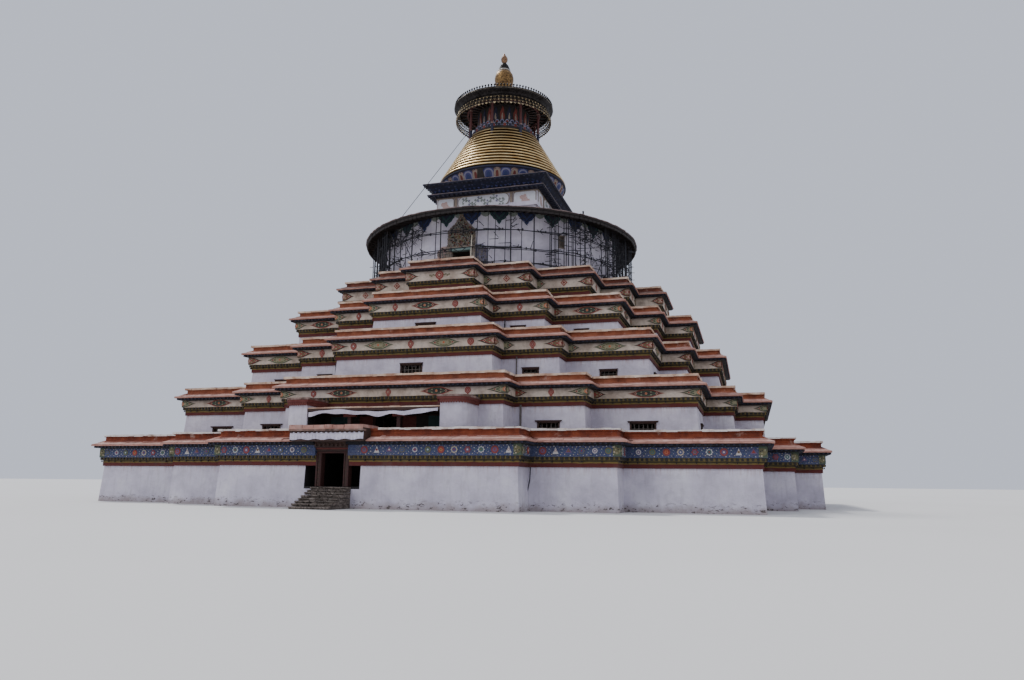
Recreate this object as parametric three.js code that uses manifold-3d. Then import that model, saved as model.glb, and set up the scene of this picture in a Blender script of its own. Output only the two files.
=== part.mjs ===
// A stepped stupa: five terraced storeys on a plan with two set-backs at each corner, a round drum,
// a square block, a spire of thirteen gilt rings, a parasol and a finial.
// All sizes below are metres of the real building, and the model is made at half size.
import * as THREE from 'three'
import { mergeVertices } from 'three/addons/utils/BufferGeometryUtils.js'
import Module from 'manifold-3d'

const wasm = await Module()
wasm.setup()

// Scale: model millimetres for each real metre (1:2)
const MODEL_MM = 500
const GAP = 0.0008

// Past the whole building, for boxes that cut
const FAR = 60

// Each storey's half plan at the tips of its eave. The centre bay stands at front within halfA of the
// axis, the next at mid within halfB, and the corner bay at side. Height is the underside of the eave.
const TIERS = [
  { halfA: 9.98, halfB: 14.94, front: 26.35, mid: 24.38, side: 22.41, eave: 3.72, frieze: 0.64 },
  { halfA: 8.0, halfB: 12.47, front: 22.83, mid: 20.85, side: 18.88, eave: 7.33, frieze: 0.53 },
  { halfA: 6.24, halfB: 10.18, front: 19.78, mid: 17.76, side: 15.75, eave: 10.92, frieze: 0.62 },
  { halfA: 4.69, halfB: 8.6, front: 17.66, mid: 15.51, side: 13.36, eave: 14.0, frieze: 0.6 },
  { halfA: 3.09, halfB: 6.63, front: 15.19, mid: 12.98, side: 10.77, eave: 16.9, frieze: 0.75 },
]
const SIDES = ['south', 'east', 'north', 'west']

// Wall and cornice, measured inwards from the eave tips
const WALL_FOOT_IN = 0.56
const WALL_TOP_IN = 0.68
const WALL_THICK = 0.9
const BAND = 0.22
const FILLET = 0.17
const DENTIL = 0.18
const FASCIA = 0.13
const BAND_IN = 0.6
const DENTIL_IN = 0.48
const FRIEZE_IN = 0.42
const FASCIA_IN = 0.14

// Terrace edge, parapet and coping
const EAVE_EDGE = 0.07
const TERRACE = 0.28
const PARAPET_IN = 0.62
const PARAPET_THICK = 0.45
const PARAPET_TOP = 0.34
const COPING = 0.13
const COPING_OUT = 0.07
const LAST_GALLERY = 0.95

// Windows on a front: storey, distance from the axis, width, sill and head
const WINDOWS = [
  { tier: 1, at: 9.6, width: 1.4, sill: 4.42, head: 5.16 },
  { tier: 1, at: 15.0, width: 1.6, sill: 4.42, head: 5.2 },
  { tier: 2, at: 0, width: 1.6, sill: 8.45, head: 9.15 },
  { tier: 2, at: 7.6, width: 1.15, sill: 8.4, head: 8.9 },
  { tier: 2, at: 12.4, width: 1.2, sill: 8.45, head: 8.92 },
  { tier: 3, at: 0, width: 1.5, sill: 11.75, head: 12.3 },
  { tier: 3, at: 6.05, width: 1.1, sill: 11.75, head: 12.22 },
  { tier: 3, at: 10.1, width: 1.05, sill: 11.75, head: 12.22 },
  { tier: 4, at: 4.25, width: 1.05, sill: 14.95, head: 15.38 },
  { tier: 4, at: 8.2, width: 0.8, sill: 14.95, head: 15.38 },
]

// Ground entrance in the south front, and the porch on the terrace above it
const ENTRY = { x: -1.7, half: 1.75, floor: 1.2, head: 3.4, back: -21.0 }
const STAIRS = { half: 1.25, risers: 8, rise: 0.15, going: 0.3, top: -25.7 }
const FRAME = { outer: 1.05, inner: 0.7, front: -25.7, back: -25.35 }
const HOOD = { half: 2.35, front: -26.72, back: -24.75, low: 3.722, neck: 4.3, high: 4.62, inset: 0.14 }
const LINTEL = { front: -26.0, back: -25.1 }
const VALANCE = { thick: 0.06, low: 3.74, high: 4.24 }
const PORCH = { inner: 4.3, outer: 5.8, front: -24.5, roof: 5.62, roofThick: 0.16, corner: 0.55 }
const PORCH_DOOR = { half: 0.8, head: 5.55 }
const AWNING = { thick: 0.06, low: 5.16 }

// Drum, its roof and its doorway
const DRUM = { radius: 10.42, thick: 1.5, roofLow: 22.62, core: 5.2 }
const DRUM_DOOR = { half: 0.76, head: 19.5 }
const DRUM_WINDOW = { angle: 45, half: 0.25, sill: 20.1, head: 21.02 }
const DRUM_ROOF = { radius: 12.35, rimLow: 22.08, rimHigh: 22.48, flat: 10.0, top: 23.3 }

// Carved surround of the drum's doorway: half width and height, from the wing up to the point
const SURROUND = {
  relief: 0.3,
  profile: [[2.15, 19.6], [1.8, 20.0], [1.15, 20.1], [1.15, 21.15], [0.52, 21.75], [0.1, 22.45]],
}

// Square block and its two eaves
const BLOCK = { half: 4.65, top: 26.38 }
const LOW_EAVE = { half: 5.33, z: 26.52 }
const HIGH_EAVE = { half: 5.65, z: 27.43, top: 27.62, foot: 26.9 }
const NICHE = { left: 2.5, right: 4.6, front: -5.25, high: 24.75 }
const LID = { left: 2.35, right: 4.8, front: -5.42, low: 24.74, high: 25.1 }
const LEDGE = { left: 0.4, front: -5.2, low: 24.98 }

// Spire, parasol and finial
const SPIRE = { baseRadius: 5.45, rimRadius: 5.92, rimLow: 28.3, rimHigh: 28.58 }
const RINGS = {
  count: 13, low: 28.62, high: 33.36, lowRadius: 5.88, highRadius: 3.15, groove: 0.14, sides: 24,
}
const NECK = { bulge: 2.95, bulgeAt: 33.85, radius: 2.4, radiusAt: 34.4 }
const PARASOL = { radius: 4.72, rimLow: 36.35, ceiling: 36.0, high: 36.5, lip: 4.3, crown: 37.2 }
const POSTS = { count: 8, radius: 3.4, half: 0.11, low: 32.6 }
const NET = { profile: [[4.22, 36.0], [4.42, 35.6], [4.5, 35.1]], ribs: 24, half: 0.05 }
const VASE = [
  [1.15, 0], [1.0, 0.35], [0.45, 0.95], [0.7, 1.3], [0.78, 1.8], [0.9, 2.3], [0.92, 2.6], [0.84, 3.0],
  [0.62, 3.35], [0.61, 3.45], [0.37, 4.05], [0.2, 4.25], [0.33, 4.65], [0.28, 4.95],
]
const TIP = 5.35

// Scaffold round the drum
const SCAFFOLD = { count: 18, radius: 10.95, half: 0.06, top: 22.4, ledgers: [18.38, 19.6, 21.08] }

// Wire from a parasol post down to the edge of the drum's roof
const STAY = { postTurn: -45, top: 33.9, roofTurn: -26, radius: 11.9, low: 22.6, thick: 0.025 }

const ROUND = 32

// Materials
const paint = (color, roughness = 0.9, metalness = 0) =>
  new THREE.MeshStandardMaterial({ color, roughness, metalness })
const limewash = paint(0xe6e4e2)
const stone = paint(0x8f8880)
const pinkSlate = paint(0xb98a78)
const ochreClay = paint(0x8a4526)
const paintedCornice = paint(0x5e4a34)
const darkTimber = paint(0x2b1d18)
const navyPaint = paint(0x23263f)
const gilt = paint(0xc9973c, 0.35, 1)
const paleCloth = paint(0xd8d4dc)
const poleWood = paint(0x2a2422)

// Turns a three.js geometry, already in real metres, into a solid in model millimetres
function solid(geometry) {
  const bare = geometry.index ? geometry.toNonIndexed() : geometry.clone()
  bare.deleteAttribute('normal')
  bare.deleteAttribute('uv')
  bare.scale(MODEL_MM, MODEL_MM, MODEL_MM)
  const merged = mergeVertices(bare, 0.01)
  return new wasm.Manifold(new wasm.Mesh({
    numProp: 3,
    vertProperties: new Float32Array(merged.attributes.position.array),
    triVerts: new Uint32Array(merged.index.array),
  }))
}

const group = new THREE.Group()

function addNode(name, body, material) {
  const mesh = body.getMesh()
  const geometry = new THREE.BufferGeometry()
  geometry.setAttribute('position', new THREE.BufferAttribute(new Float32Array(mesh.vertProperties), 3))
  geometry.setIndex(new THREE.BufferAttribute(new Uint32Array(mesh.triVerts), 1))
  geometry.computeVertexNormals()
  const node = new THREE.Mesh(geometry, material)
  node.name = name
  group.add(node)
}

// Box from its low and high corners
function box(low, high) {
  const size = high.map((value, axis) => value - low[axis])
  const geometry = new THREE.BoxGeometry(...size)
  geometry.translate(...low.map((value, axis) => value + size[axis] / 2))
  return solid(geometry)
}

// Solid turned about the vertical axis, from radius and height pairs
function turned(points, segments = ROUND) {
  const profile = points.map(([radius, z]) => new THREE.Vector2(radius, z))
  const geometry = new THREE.LatheGeometry(profile, segments)
  geometry.rotateX(Math.PI / 2)
  return solid(geometry)
}

// Upright round solid
function disc(radius, low, high, segments = ROUND) {
  return turned([[0, low], [radius, low], [radius, high], [0, high]], segments)
}

// Outline of a storey at the eave tips, going round from the south front: twenty outer corners
function outline(tier) {
  const { halfA, halfB, front, mid, side } = tier
  const quarter = [
    [-halfA, -front], [halfA, -front], [halfA, -mid], [halfB, -mid], [halfB, -side],
    [side, -side], [side, -halfB], [mid, -halfB], [mid, -halfA],
  ]
  const corners = []
  for (let turn = 0; turn < 4; turn += 1) {
    for (const [x, y] of quarter) {
      corners.push(new THREE.Vector2(x, y).rotateAround(new THREE.Vector2(), turn * Math.PI / 2))
    }
  }
  return corners
}

// Solid on a storey's outline whose faces follow levels, each an inset from the eave tips and a height
function stacked(tier, levels) {
  const shape = new THREE.Shape(outline(tier))
  const steps = levels.length - 1
  const geometry = new THREE.ExtrudeGeometry(shape, { depth: steps, steps, bevelEnabled: false })
  const place = geometry.attributes.position
  for (let i = 0; i < place.count; i += 1) {
    const [inset, z] = levels[Math.round(place.getZ(i))]
    const x = place.getX(i)
    const y = place.getY(i)
    place.setXYZ(i, x - Math.sign(x) * inset, y - Math.sign(y) * inset, z)
  }
  return solid(geometry)
}

// The same from an inset outwards only, as a ring
function ring(tier, levels, innerInset) {
  const heights = levels.map((level) => level[1])
  const low = Math.min(...heights) - 1
  const high = Math.max(...heights) + 1
  return stacked(tier, levels).subtract(stacked(tier, [[innerInset, low], [innerInset, high]]))
}

// Everything on one of the four sides, between the two diagonals through the axis
function sideWedge(turn, low, high) {
  const shape = new THREE.Shape([
    new THREE.Vector2(0, -GAP),
    new THREE.Vector2(-FAR, -FAR - GAP),
    new THREE.Vector2(FAR, -FAR - GAP),
  ])
  const geometry = new THREE.ExtrudeGeometry(shape, { depth: high - low, bevelEnabled: false })
  geometry.translate(0, 0, low)
  geometry.rotateZ(turn * Math.PI / 2)
  return solid(geometry)
}

// Level of the floor that stands on a storey, and of the ground under the first
const floorOf = (index) => (index === 0 ? 0 : TIERS[index - 1].eave + TERRACE)
const wallTop = (tier) => tier.eave - FASCIA - tier.frieze - DENTIL - FILLET - BAND

function windowHole(item, across, turn) {
  const tier = TIERS[item.tier]
  let face = tier.side
  if (Math.abs(across) < tier.halfB) face = tier.mid
  if (Math.abs(across) < tier.halfA) face = tier.front
  const deep = WALL_FOOT_IN + WALL_THICK + 0.6
  const size = new THREE.BoxGeometry(item.width, deep, item.head - item.sill)
  size.translate(across, -face + deep / 2, (item.head + item.sill) / 2)
  size.rotateZ(turn * Math.PI / 2)
  return solid(size)
}

// Outer wall of a storey above the first, cut for its windows
function storeyWall(index) {
  const tier = TIERS[index]
  const foot = floorOf(index) + GAP
  const top = tier.eave - GAP
  let wall = ring(tier, [[WALL_FOOT_IN, foot], [WALL_TOP_IN, wallTop(tier)], [WALL_TOP_IN, top]],
    WALL_TOP_IN + WALL_THICK)
  for (const item of WINDOWS.filter((each) => each.tier === index)) {
    const places = item.at === 0 ? [0] : [-item.at, item.at]
    for (let turn = 0; turn < 4; turn += 1) {
      for (const across of places) wall = wall.subtract(windowHole(item, across, turn))
    }
  }
  return wall
}

function addStoreyWalls(index) {
  const tier = TIERS[index]
  const wall = storeyWall(index)
  SIDES.forEach((side, turn) => {
    const part = wall.intersect(sideWedge(turn, 0, tier.eave + 1))
    const name = `storey_${index + 1}_${side}_wall`
    if (index === 1 && turn === 0) addPorchWall(part)
    else addNode(name, part, limewash)
  })
}

// South wall of the second storey, in pieces beside and over the porch doorway
function addPorchWall(part) {
  const { half, head } = PORCH_DOOR
  const left = box([-FAR, -FAR, 0], [-half, 0, FAR])
  const right = box([half, -FAR, 0], [FAR, 0, FAR])
  const over = box([-half + GAP, -FAR, head], [half - GAP, 0, FAR])
  addNode('storey_2_south_wall_left', part.intersect(left), limewash)
  addNode('storey_2_south_wall_right', part.intersect(right), limewash)
  addNode('storey_2_south_wall_over_door', part.intersect(over), limewash)
}

// Painted cornice round a storey: maroon band, fillet, dentil course, frieze and eave board
function corniceRing(index) {
  const tier = TIERS[index]
  const low = wallTop(tier)
  const dentil = low + BAND + FILLET
  const frieze = dentil + DENTIL
  const fascia = frieze + tier.frieze
  const levels = [
    [BAND_IN, low], [BAND_IN, dentil], [DENTIL_IN, dentil], [DENTIL_IN, frieze],
    [FRIEZE_IN, frieze], [FRIEZE_IN, fascia], [FASCIA_IN, fascia], [FASCIA_IN, tier.eave - GAP],
  ]
  return ring(tier, levels, WALL_TOP_IN - GAP)
}

// Terrace slab with its sloping slate edge
function terraceLevels(tier) {
  const low = tier.eave
  return [
    [0.02, low], [0, low + 0.02], [0, low + EAVE_EDGE],
    [PARAPET_IN - 0.04, low + TERRACE], [PARAPET_IN, low + TERRACE],
  ]
}

function terraceSlab(index) {
  const tier = TIERS[index]
  const slab = stacked(tier, terraceLevels(tier))
  if (index === 0) return slab
  if (index === TIERS.length - 1) return slab.subtract(disc(DRUM.core + GAP, tier.eave - 1, tier.eave + 1))
  const above = TIERS[index + 1]
  const well = stacked(above, [[WALL_FOOT_IN - GAP, tier.eave - 1], [WALL_FOOT_IN - GAP, tier.eave + 1]])
  return slab.subtract(well)
}

// Low clay parapet with a pale coping that oversails it
function parapetRing(index) {
  const tier = TIERS[index]
  const foot = tier.eave + TERRACE + GAP
  const coping = foot + PARAPET_TOP
  const out = PARAPET_IN - COPING_OUT
  const levels = [[PARAPET_IN, foot], [PARAPET_IN, coping], [out, coping], [out, coping + COPING]]
  return ring(tier, levels, PARAPET_IN + PARAPET_THICK)
}

// Masonry heart behind the galleries: each storey's wall stands on the shoulder of the one below
function masonryCore() {
  let core = null
  for (let index = 1; index < TIERS.length - 1; index += 1) {
    const above = TIERS[index + 1]
    const low = index === 1 ? floorOf(1) + GAP : floorOf(index)
    const stage = stacked(above, [[WALL_FOOT_IN, low], [WALL_FOOT_IN, floorOf(index + 1)]])
    core = core ? core.add(stage) : stage
  }
  const last = TIERS[TIERS.length - 1]
  const inset = WALL_TOP_IN + WALL_THICK + LAST_GALLERY
  const foot = floorOf(TIERS.length - 1)
  const chapelCore = stacked(last, [[inset, foot - 0.5], [inset, last.eave - GAP]])
  return core.add(chapelCore).add(disc(DRUM.core, last.eave - 0.5, DRUM.roofLow - GAP))
}

// First storey: one mass of masonry with battered faces, cut for the entrance passage
function podium() {
  const tier = TIERS[0]
  const levels = [[WALL_FOOT_IN, 0], [WALL_TOP_IN, wallTop(tier)], [WALL_TOP_IN, tier.eave - GAP]]
  const body = stacked(tier, levels)
  const left = ENTRY.x - ENTRY.half
  const right = ENTRY.x + ENTRY.half
  const passage = box([left, -FAR, ENTRY.floor], [right, ENTRY.back, ENTRY.head])
  const bay = STAIRS.half + GAP
  const foot = box([ENTRY.x - bay, -FAR, -1], [ENTRY.x + bay, STAIRS.top, ENTRY.floor])
  const { outer } = FRAME
  const mouth = box([ENTRY.x - outer, -FAR, ENTRY.head - 0.01], [ENTRY.x + outer, LINTEL.back, FAR])
  return body.subtract(passage).subtract(foot).subtract(mouth)
}

// Cut at the entrance through what runs along the top of the first storey
const acrossEntry = (half) => box([ENTRY.x - half, -FAR, 0], [ENTRY.x + half, HOOD.back, FAR])

function addStoreys() {
  addNode('podium', podium(), limewash)
  addNode('masonry_core', masonryCore(), stone)
  TIERS.forEach((tier, index) => {
    let cornice = corniceRing(index)
    let terrace = terraceSlab(index)
    let parapet = parapetRing(index)
    if (index === 0) {
      cornice = cornice.subtract(acrossEntry(FRAME.outer + GAP))
      terrace = terrace.subtract(acrossEntry(HOOD.half + GAP))
      parapet = parapet.subtract(acrossEntry(HOOD.half + GAP))
    }
    if (index > 0) addStoreyWalls(index)
    addNode(`storey_${index + 1}_cornice`, cornice, paintedCornice)
    addNode(`storey_${index + 1}_terrace`, terrace, pinkSlate)
    addNode(`storey_${index + 1}_parapet`, parapet, ochreClay)
  })
}

// Entrance: rough steps, timber door frame, hood over it and the cloth along the hood's edge
function entranceSteps() {
  const shape = new THREE.Shape()
  shape.moveTo(0, 0)
  for (let step = 0; step < STAIRS.risers; step += 1) {
    shape.lineTo(step * STAIRS.going, (step + 1) * STAIRS.rise)
    shape.lineTo((step + 1) * STAIRS.going, (step + 1) * STAIRS.rise)
  }
  shape.lineTo(STAIRS.risers * STAIRS.going, 0)
  const geometry = new THREE.ExtrudeGeometry(shape, { depth: STAIRS.half * 2, bevelEnabled: false })
  geometry.rotateX(Math.PI / 2)
  geometry.rotateZ(Math.PI / 2)
  geometry.translate(ENTRY.x - STAIRS.half, STAIRS.top - STAIRS.risers * STAIRS.going - GAP, 0)
  return solid(geometry)
}

function doorFrame() {
  const { outer, inner, front, back } = FRAME
  const low = ENTRY.floor + GAP
  const body = box([ENTRY.x - outer, front, low], [ENTRY.x + outer, back, ENTRY.head - GAP])
  const clear = box([ENTRY.x - inner, front - 1, low - 1], [ENTRY.x + inner, back + 1, ENTRY.head - 0.3])
  return body.subtract(clear)
}

// Hood over the entrance: a dark timber case under a slab that oversails it
function entranceHood() {
  const { half, front, back, low, neck, high, inset } = HOOD
  const beamHalf = FRAME.outer - GAP
  const beam = box([ENTRY.x - beamHalf, LINTEL.front, ENTRY.head + GAP],
    [ENTRY.x + beamHalf, LINTEL.back - GAP, low + 0.01])
  const body = box([ENTRY.x - half + GAP, front + inset, low], [ENTRY.x + half - GAP, back - GAP, neck])
  const slab = box([ENTRY.x - half + GAP, front, neck - 0.01], [ENTRY.x + half - GAP, back - GAP, high])
  return beam.add(body).add(slab)
}

function entranceValance() {
  const { thick, low, high } = VALANCE
  const back = HOOD.front + HOOD.inset - GAP
  return box([ENTRY.x - HOOD.half, back - thick, low], [ENTRY.x + HOOD.half, back, high])
}

// Porch on the first terrace: two rounded piers that carry a roof, with a cloth along its edge
function porchPier(sideways) {
  const tier = TIERS[1]
  const { inner, outer, front, corner } = PORCH
  const back = -tier.front + WALL_TOP_IN + 0.3
  const shape = new THREE.Shape()
  shape.moveTo(inner, back)
  shape.lineTo(inner, front)
  shape.lineTo(outer - corner, front)
  shape.absarc(outer - corner, front + corner, corner, -Math.PI / 2, 0, false)
  shape.lineTo(outer, back)
  const top = wallTop(tier)
  const geometry = new THREE.ExtrudeGeometry(shape, {
    depth: top - floorOf(1) - GAP * 2, bevelEnabled: false, curveSegments: 6,
  })
  geometry.translate(0, 0, floorOf(1) + GAP)
  let pier = solid(geometry)
  if (sideways < 0) pier = pier.mirror([1, 0, 0])
  const levels = [[WALL_FOOT_IN - GAP, floorOf(1)], [WALL_TOP_IN - GAP, top], [WALL_TOP_IN - GAP, 9]]
  return pier.subtract(stacked(tier, levels))
}

function pierCap(sideways) {
  const tier = TIERS[1]
  const { inner, outer, front, corner } = PORCH
  const out = 0.1
  const low = wallTop(tier) - 0.02
  const shape = new THREE.Shape()
  shape.moveTo(inner - out, -tier.front + DENTIL_IN - GAP)
  shape.lineTo(inner - out, front - out)
  shape.lineTo(outer - corner, front - out)
  shape.absarc(outer - corner, front + corner, corner + out, -Math.PI / 2, 0, false)
  shape.lineTo(outer + out, -tier.front + DENTIL_IN - GAP)
  const geometry = new THREE.ExtrudeGeometry(shape, {
    depth: BAND + FILLET, bevelEnabled: false, curveSegments: 6,
  })
  geometry.translate(0, 0, low)
  const cap = solid(geometry)
  return sideways < 0 ? cap.mirror([1, 0, 0]) : cap
}

function porchRoof() {
  const { inner, front, roof, roofThick } = PORCH
  const back = -TIERS[1].front + WALL_FOOT_IN - GAP
  return box([-inner + GAP, front, roof], [inner - GAP, back, roof + roofThick])
}

function porchAwning() {
  const { thick, low } = AWNING
  const back = PORCH.front - GAP
  const half = PORCH.inner - 0.1 - GAP
  return box([-half, back - thick, low], [half, back, PORCH.roof + PORCH.roofThick])
}

function addEntrance() {
  addNode('entrance_steps', entranceSteps(), stone)
  addNode('entrance_door_frame', doorFrame(), darkTimber)
  addNode('entrance_hood', entranceHood(), darkTimber)
  addNode('entrance_valance', entranceValance(), paleCloth)
  addNode('porch_pier_west', porchPier(-1).add(pierCap(-1)), limewash)
  addNode('porch_pier_east', porchPier(1).add(pierCap(1)), limewash)
  addNode('porch_roof', porchRoof(), darkTimber)
  addNode('porch_awning', porchAwning(), paleCloth)
}

function drumWall() {
  const low = floorOf(TIERS.length) + GAP
  const high = DRUM.roofLow - GAP
  const shell = disc(DRUM.radius, low, high).subtract(disc(DRUM.radius - DRUM.thick, low - 1, high + 1))
  const { angle, half, sill, head } = DRUM_WINDOW
  const hole = new THREE.BoxGeometry(half * 2, DRUM.thick * 3, head - sill)
  hole.translate(0, -DRUM.radius + DRUM.thick / 2, (sill + head) / 2)
  hole.rotateZ(THREE.MathUtils.degToRad(angle))
  return shell.subtract(solid(hole))
}

function addDrum() {
  const wall = drumWall()
  const { half, head } = DRUM_DOOR
  const low = floorOf(TIERS.length) - 1
  const high = DRUM.roofLow + 1
  const doorway = box([-half, -FAR, low], [half, 0, high])
  const east = box([GAP, -FAR, low], [FAR, FAR, high])
  const west = box([-FAR, -FAR, low], [-GAP, FAR, high])
  addNode('drum_wall_east', wall.intersect(east).subtract(doorway), limewash)
  addNode('drum_wall_west', wall.intersect(west).subtract(doorway), limewash)
  const over = box([-half + GAP, -FAR, head], [half - GAP, 0, high])
  addNode('drum_wall_over_door', wall.intersect(over), limewash)
  addNode('drum_roof', drumRoof(), darkTimber)
  addNode('drum_door_surround', doorSurround(), stone)
}

// The roof's underside falls outwards from the top of the wall to the rim
function drumRoof() {
  const { radius, rimLow, rimHigh, flat, top } = DRUM_ROOF
  return turned([
    [0, DRUM.roofLow], [DRUM.radius + 0.05, DRUM.roofLow], [radius - 0.05, rimLow - 0.06], [radius, rimLow],
    [radius, rimHigh], [flat, top], [0, top],
  ], 40)
}

// Surround of the drum's doorway: a stepped, pointed relief that follows the wall
function doorSurround() {
  const { relief, profile } = SURROUND
  const low = floorOf(TIERS.length) + GAP
  const high = DRUM.roofLow
  const right = [[profile[0][0], low], ...profile]
  const left = right.map(([x, z]) => [-x, z]).reverse()
  const shape = new THREE.Shape([...right, ...left].map(([x, z]) => new THREE.Vector2(x, z)))
  const geometry = new THREE.ExtrudeGeometry(shape, { depth: 3, bevelEnabled: false })
  geometry.rotateX(Math.PI / 2)
  geometry.translate(0, -DRUM.radius + 1.2, 0)
  const carved = solid(geometry)
    .intersect(disc(DRUM.radius + relief, low - 1, high))
    .subtract(disc(DRUM.radius + GAP, low - 2, high + 1))
  return carved.subtract(box([-DRUM_DOOR.half, -FAR, low - 1], [DRUM_DOOR.half, 0, DRUM_DOOR.head]))
}

// Bamboo-thin scaffold round the drum: uprights and three rings of ledgers, fused where they cross
function scaffold() {
  const foot = floorOf(TIERS.length) + GAP
  const { count, radius, half, top, ledgers } = SCAFFOLD
  let frame = null
  for (const z of ledgers) {
    const hoop = disc(radius + half * 0.8, z - half, z + half, count)
      .subtract(disc(radius - half * 0.8, z - 1, z + 1, count))
      .rotate([0, 0, 180 / count])
    frame = frame ? frame.add(hoop) : hoop
  }
  for (let i = 0; i < count; i += 1) {
    const post = new THREE.BoxGeometry(half * 2, half * 2, top - foot)
    post.translate(0, -radius, (top + foot) / 2)
    post.rotateZ(((i + 0.5) * 2 * Math.PI) / count)
    frame = frame.add(solid(post))
  }
  return frame
}

// Solid on a square plan from half width and height pairs
function squareStack(levels) {
  const corners = [[-1, -1], [1, -1], [1, 1], [-1, 1]]
  const shape = new THREE.Shape(corners.map(([x, y]) => new THREE.Vector2(x, y)))
  const steps = levels.length - 1
  const geometry = new THREE.ExtrudeGeometry(shape, { depth: steps, steps, bevelEnabled: false })
  const place = geometry.attributes.position
  for (let i = 0; i < place.count; i += 1) {
    const [half, z] = levels[Math.round(place.getZ(i))]
    place.setXYZ(i, place.getX(i) * half, place.getY(i) * half, z)
  }
  return solid(geometry)
}

function addBlock() {
  const foot = DRUM_ROOF.top + GAP
  const body = squareStack([[BLOCK.half, foot], [BLOCK.half, BLOCK.top - GAP]])
  const eaves = [
    [BLOCK.half + 0.05, BLOCK.top], [LOW_EAVE.half, LOW_EAVE.z - 0.03], [LOW_EAVE.half, LOW_EAVE.z + 0.04],
    [BLOCK.half + 0.1, LOW_EAVE.z + 0.1], [BLOCK.half + 0.2, HIGH_EAVE.foot],
    [HIGH_EAVE.half, HIGH_EAVE.z - 0.03],
    [HIGH_EAVE.half, HIGH_EAVE.z + 0.05], [BLOCK.half, HIGH_EAVE.top],
  ]
  addNode('square_block', body.add(blockHood()), limewash)
  addNode('square_block_eaves', squareStack(eaves), navyPaint)
}

// Small niche on the right of the block's south face, with a lid that runs out into a thin ledge
function blockHood() {
  const low = DRUM_ROOF.top + GAP
  const back = -BLOCK.half + 0.01
  const body = box([NICHE.left, NICHE.front, low], [NICHE.right, back, NICHE.high])
  const lid = box([LID.left, LID.front, LID.low], [LID.right, back, LID.high])
  const ledge = box([LEDGE.left, LEDGE.front, LEDGE.low], [LID.right - 0.1, back, LID.high - 0.02])
  return body.add(lid).add(ledge)
}

function spireBase() {
  const { baseRadius, rimRadius, rimLow, rimHigh } = SPIRE
  const low = HIGH_EAVE.top + GAP
  return turned([
    [0, low], [baseRadius, low], [baseRadius, rimLow - 0.2], [rimRadius, rimLow],
    [rimRadius, rimHigh], [RINGS.lowRadius - 0.05, RINGS.low - GAP], [0, RINGS.low - GAP],
  ])
}

// Radius of the rings' cone at a height
function ringRadius(z) {
  const along = (z - RINGS.low) / (RINGS.high - RINGS.low)
  return RINGS.lowRadius + (RINGS.highRadius - RINGS.lowRadius) * along
}

function giltRings() {
  const pitch = (RINGS.high - RINGS.low) / RINGS.count
  const { groove } = RINGS
  const points = [[0, RINGS.low], [RINGS.lowRadius - groove, RINGS.low]]
  for (let i = 0; i < RINGS.count; i += 1) {
    const low = RINGS.low + i * pitch
    const radius = ringRadius(low)
    points.push([radius, low + pitch * 0.3])
    if (i < RINGS.count - 1) points.push([ringRadius(low + pitch) - groove, low + pitch])
  }
  points.push([RINGS.highRadius - 0.1, RINGS.high], [0, RINGS.high])
  return turned(points, RINGS.sides)
}

function spireNeck() {
  const { bulge, bulgeAt, radius, radiusAt } = NECK
  const low = RINGS.high + GAP
  const top = PARASOL.ceiling - GAP
  return turned([
    [0, low], [RINGS.highRadius - 0.12, low], [bulge, bulgeAt], [radius, radiusAt], [radius, top], [0, top],
  ])
}

// Thin rim over a hollow moulding, a flat underside and a low crown
function parasol() {
  const { radius, rimLow, ceiling, high, lip, crown } = PARASOL
  return turned([
    [0, ceiling], [lip, ceiling], [lip + 0.08, ceiling + 0.2], [radius - 0.06, rimLow - 0.04],
    [radius, rimLow], [radius, high], [2.6, high + 0.35], [1.3, crown], [0, crown],
  ])
}

// Timber posts that stand on the rings and carry the parasol, tied by a hoop under its ceiling
function parasolPosts() {
  const { count, radius, half, low } = POSTS
  const top = PARASOL.ceiling - GAP
  let frame = disc(radius + 0.12, top - 0.2, top, 24).subtract(disc(radius - 0.12, top - 1, top + 1, 24))
  for (let i = 0; i < count; i += 1) {
    const post = new THREE.BoxGeometry(half * 2, half * 2, top - low)
    post.translate(0, -radius, (top + low) / 2)
    post.rotateZ((i * 2 * Math.PI) / count)
    frame = frame.add(solid(post))
  }
  const pitch = (RINGS.high - RINGS.low) / RINGS.count
  const steps = [[0, RINGS.low]]
  for (let i = 0; i < RINGS.count; i += 1) {
    const z = RINGS.low + i * pitch
    steps.push([ringRadius(z) + GAP * 4, z], [ringRadius(z) + GAP * 4, z + pitch])
  }
  steps.push([0, RINGS.high])
  return frame.subtract(turned(steps, RINGS.sides))
}

// Openwork net that hangs from the parasol's lip: three hoops joined by ribs
function parasolNet() {
  const { profile, ribs, half } = NET
  let net = null
  for (const [radius, z] of profile) {
    const top = Math.min(z + half, PARASOL.ceiling - GAP)
    const hoop = disc(radius + half, z - half, top, ribs).subtract(disc(radius - half, z - 1, z + 1, ribs))
    net = net ? net.add(hoop) : hoop
  }
  for (let index = 0; index < ribs; index += 1) net = net.add(netRib((360 * index) / ribs))
  return net.subtract(disc(PARASOL.radius, PARASOL.ceiling - GAP, PARASOL.ceiling + 1))
}

// One rib of the net, a flat strip in the plane of its bearing
function netRib(bearing) {
  const { profile, half } = NET
  const beside = (side) => profile.map(([radius, z]) => new THREE.Vector2(radius + side * half, z))
  const shape = new THREE.Shape([...beside(1).reverse(), ...beside(-1)])
  const geometry = new THREE.ExtrudeGeometry(shape, { depth: half * 2, bevelEnabled: false })
  geometry.translate(0, 0, -half)
  geometry.rotateX(Math.PI / 2)
  geometry.rotateZ(THREE.MathUtils.degToRad(bearing - 90))
  return solid(geometry)
}

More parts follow.
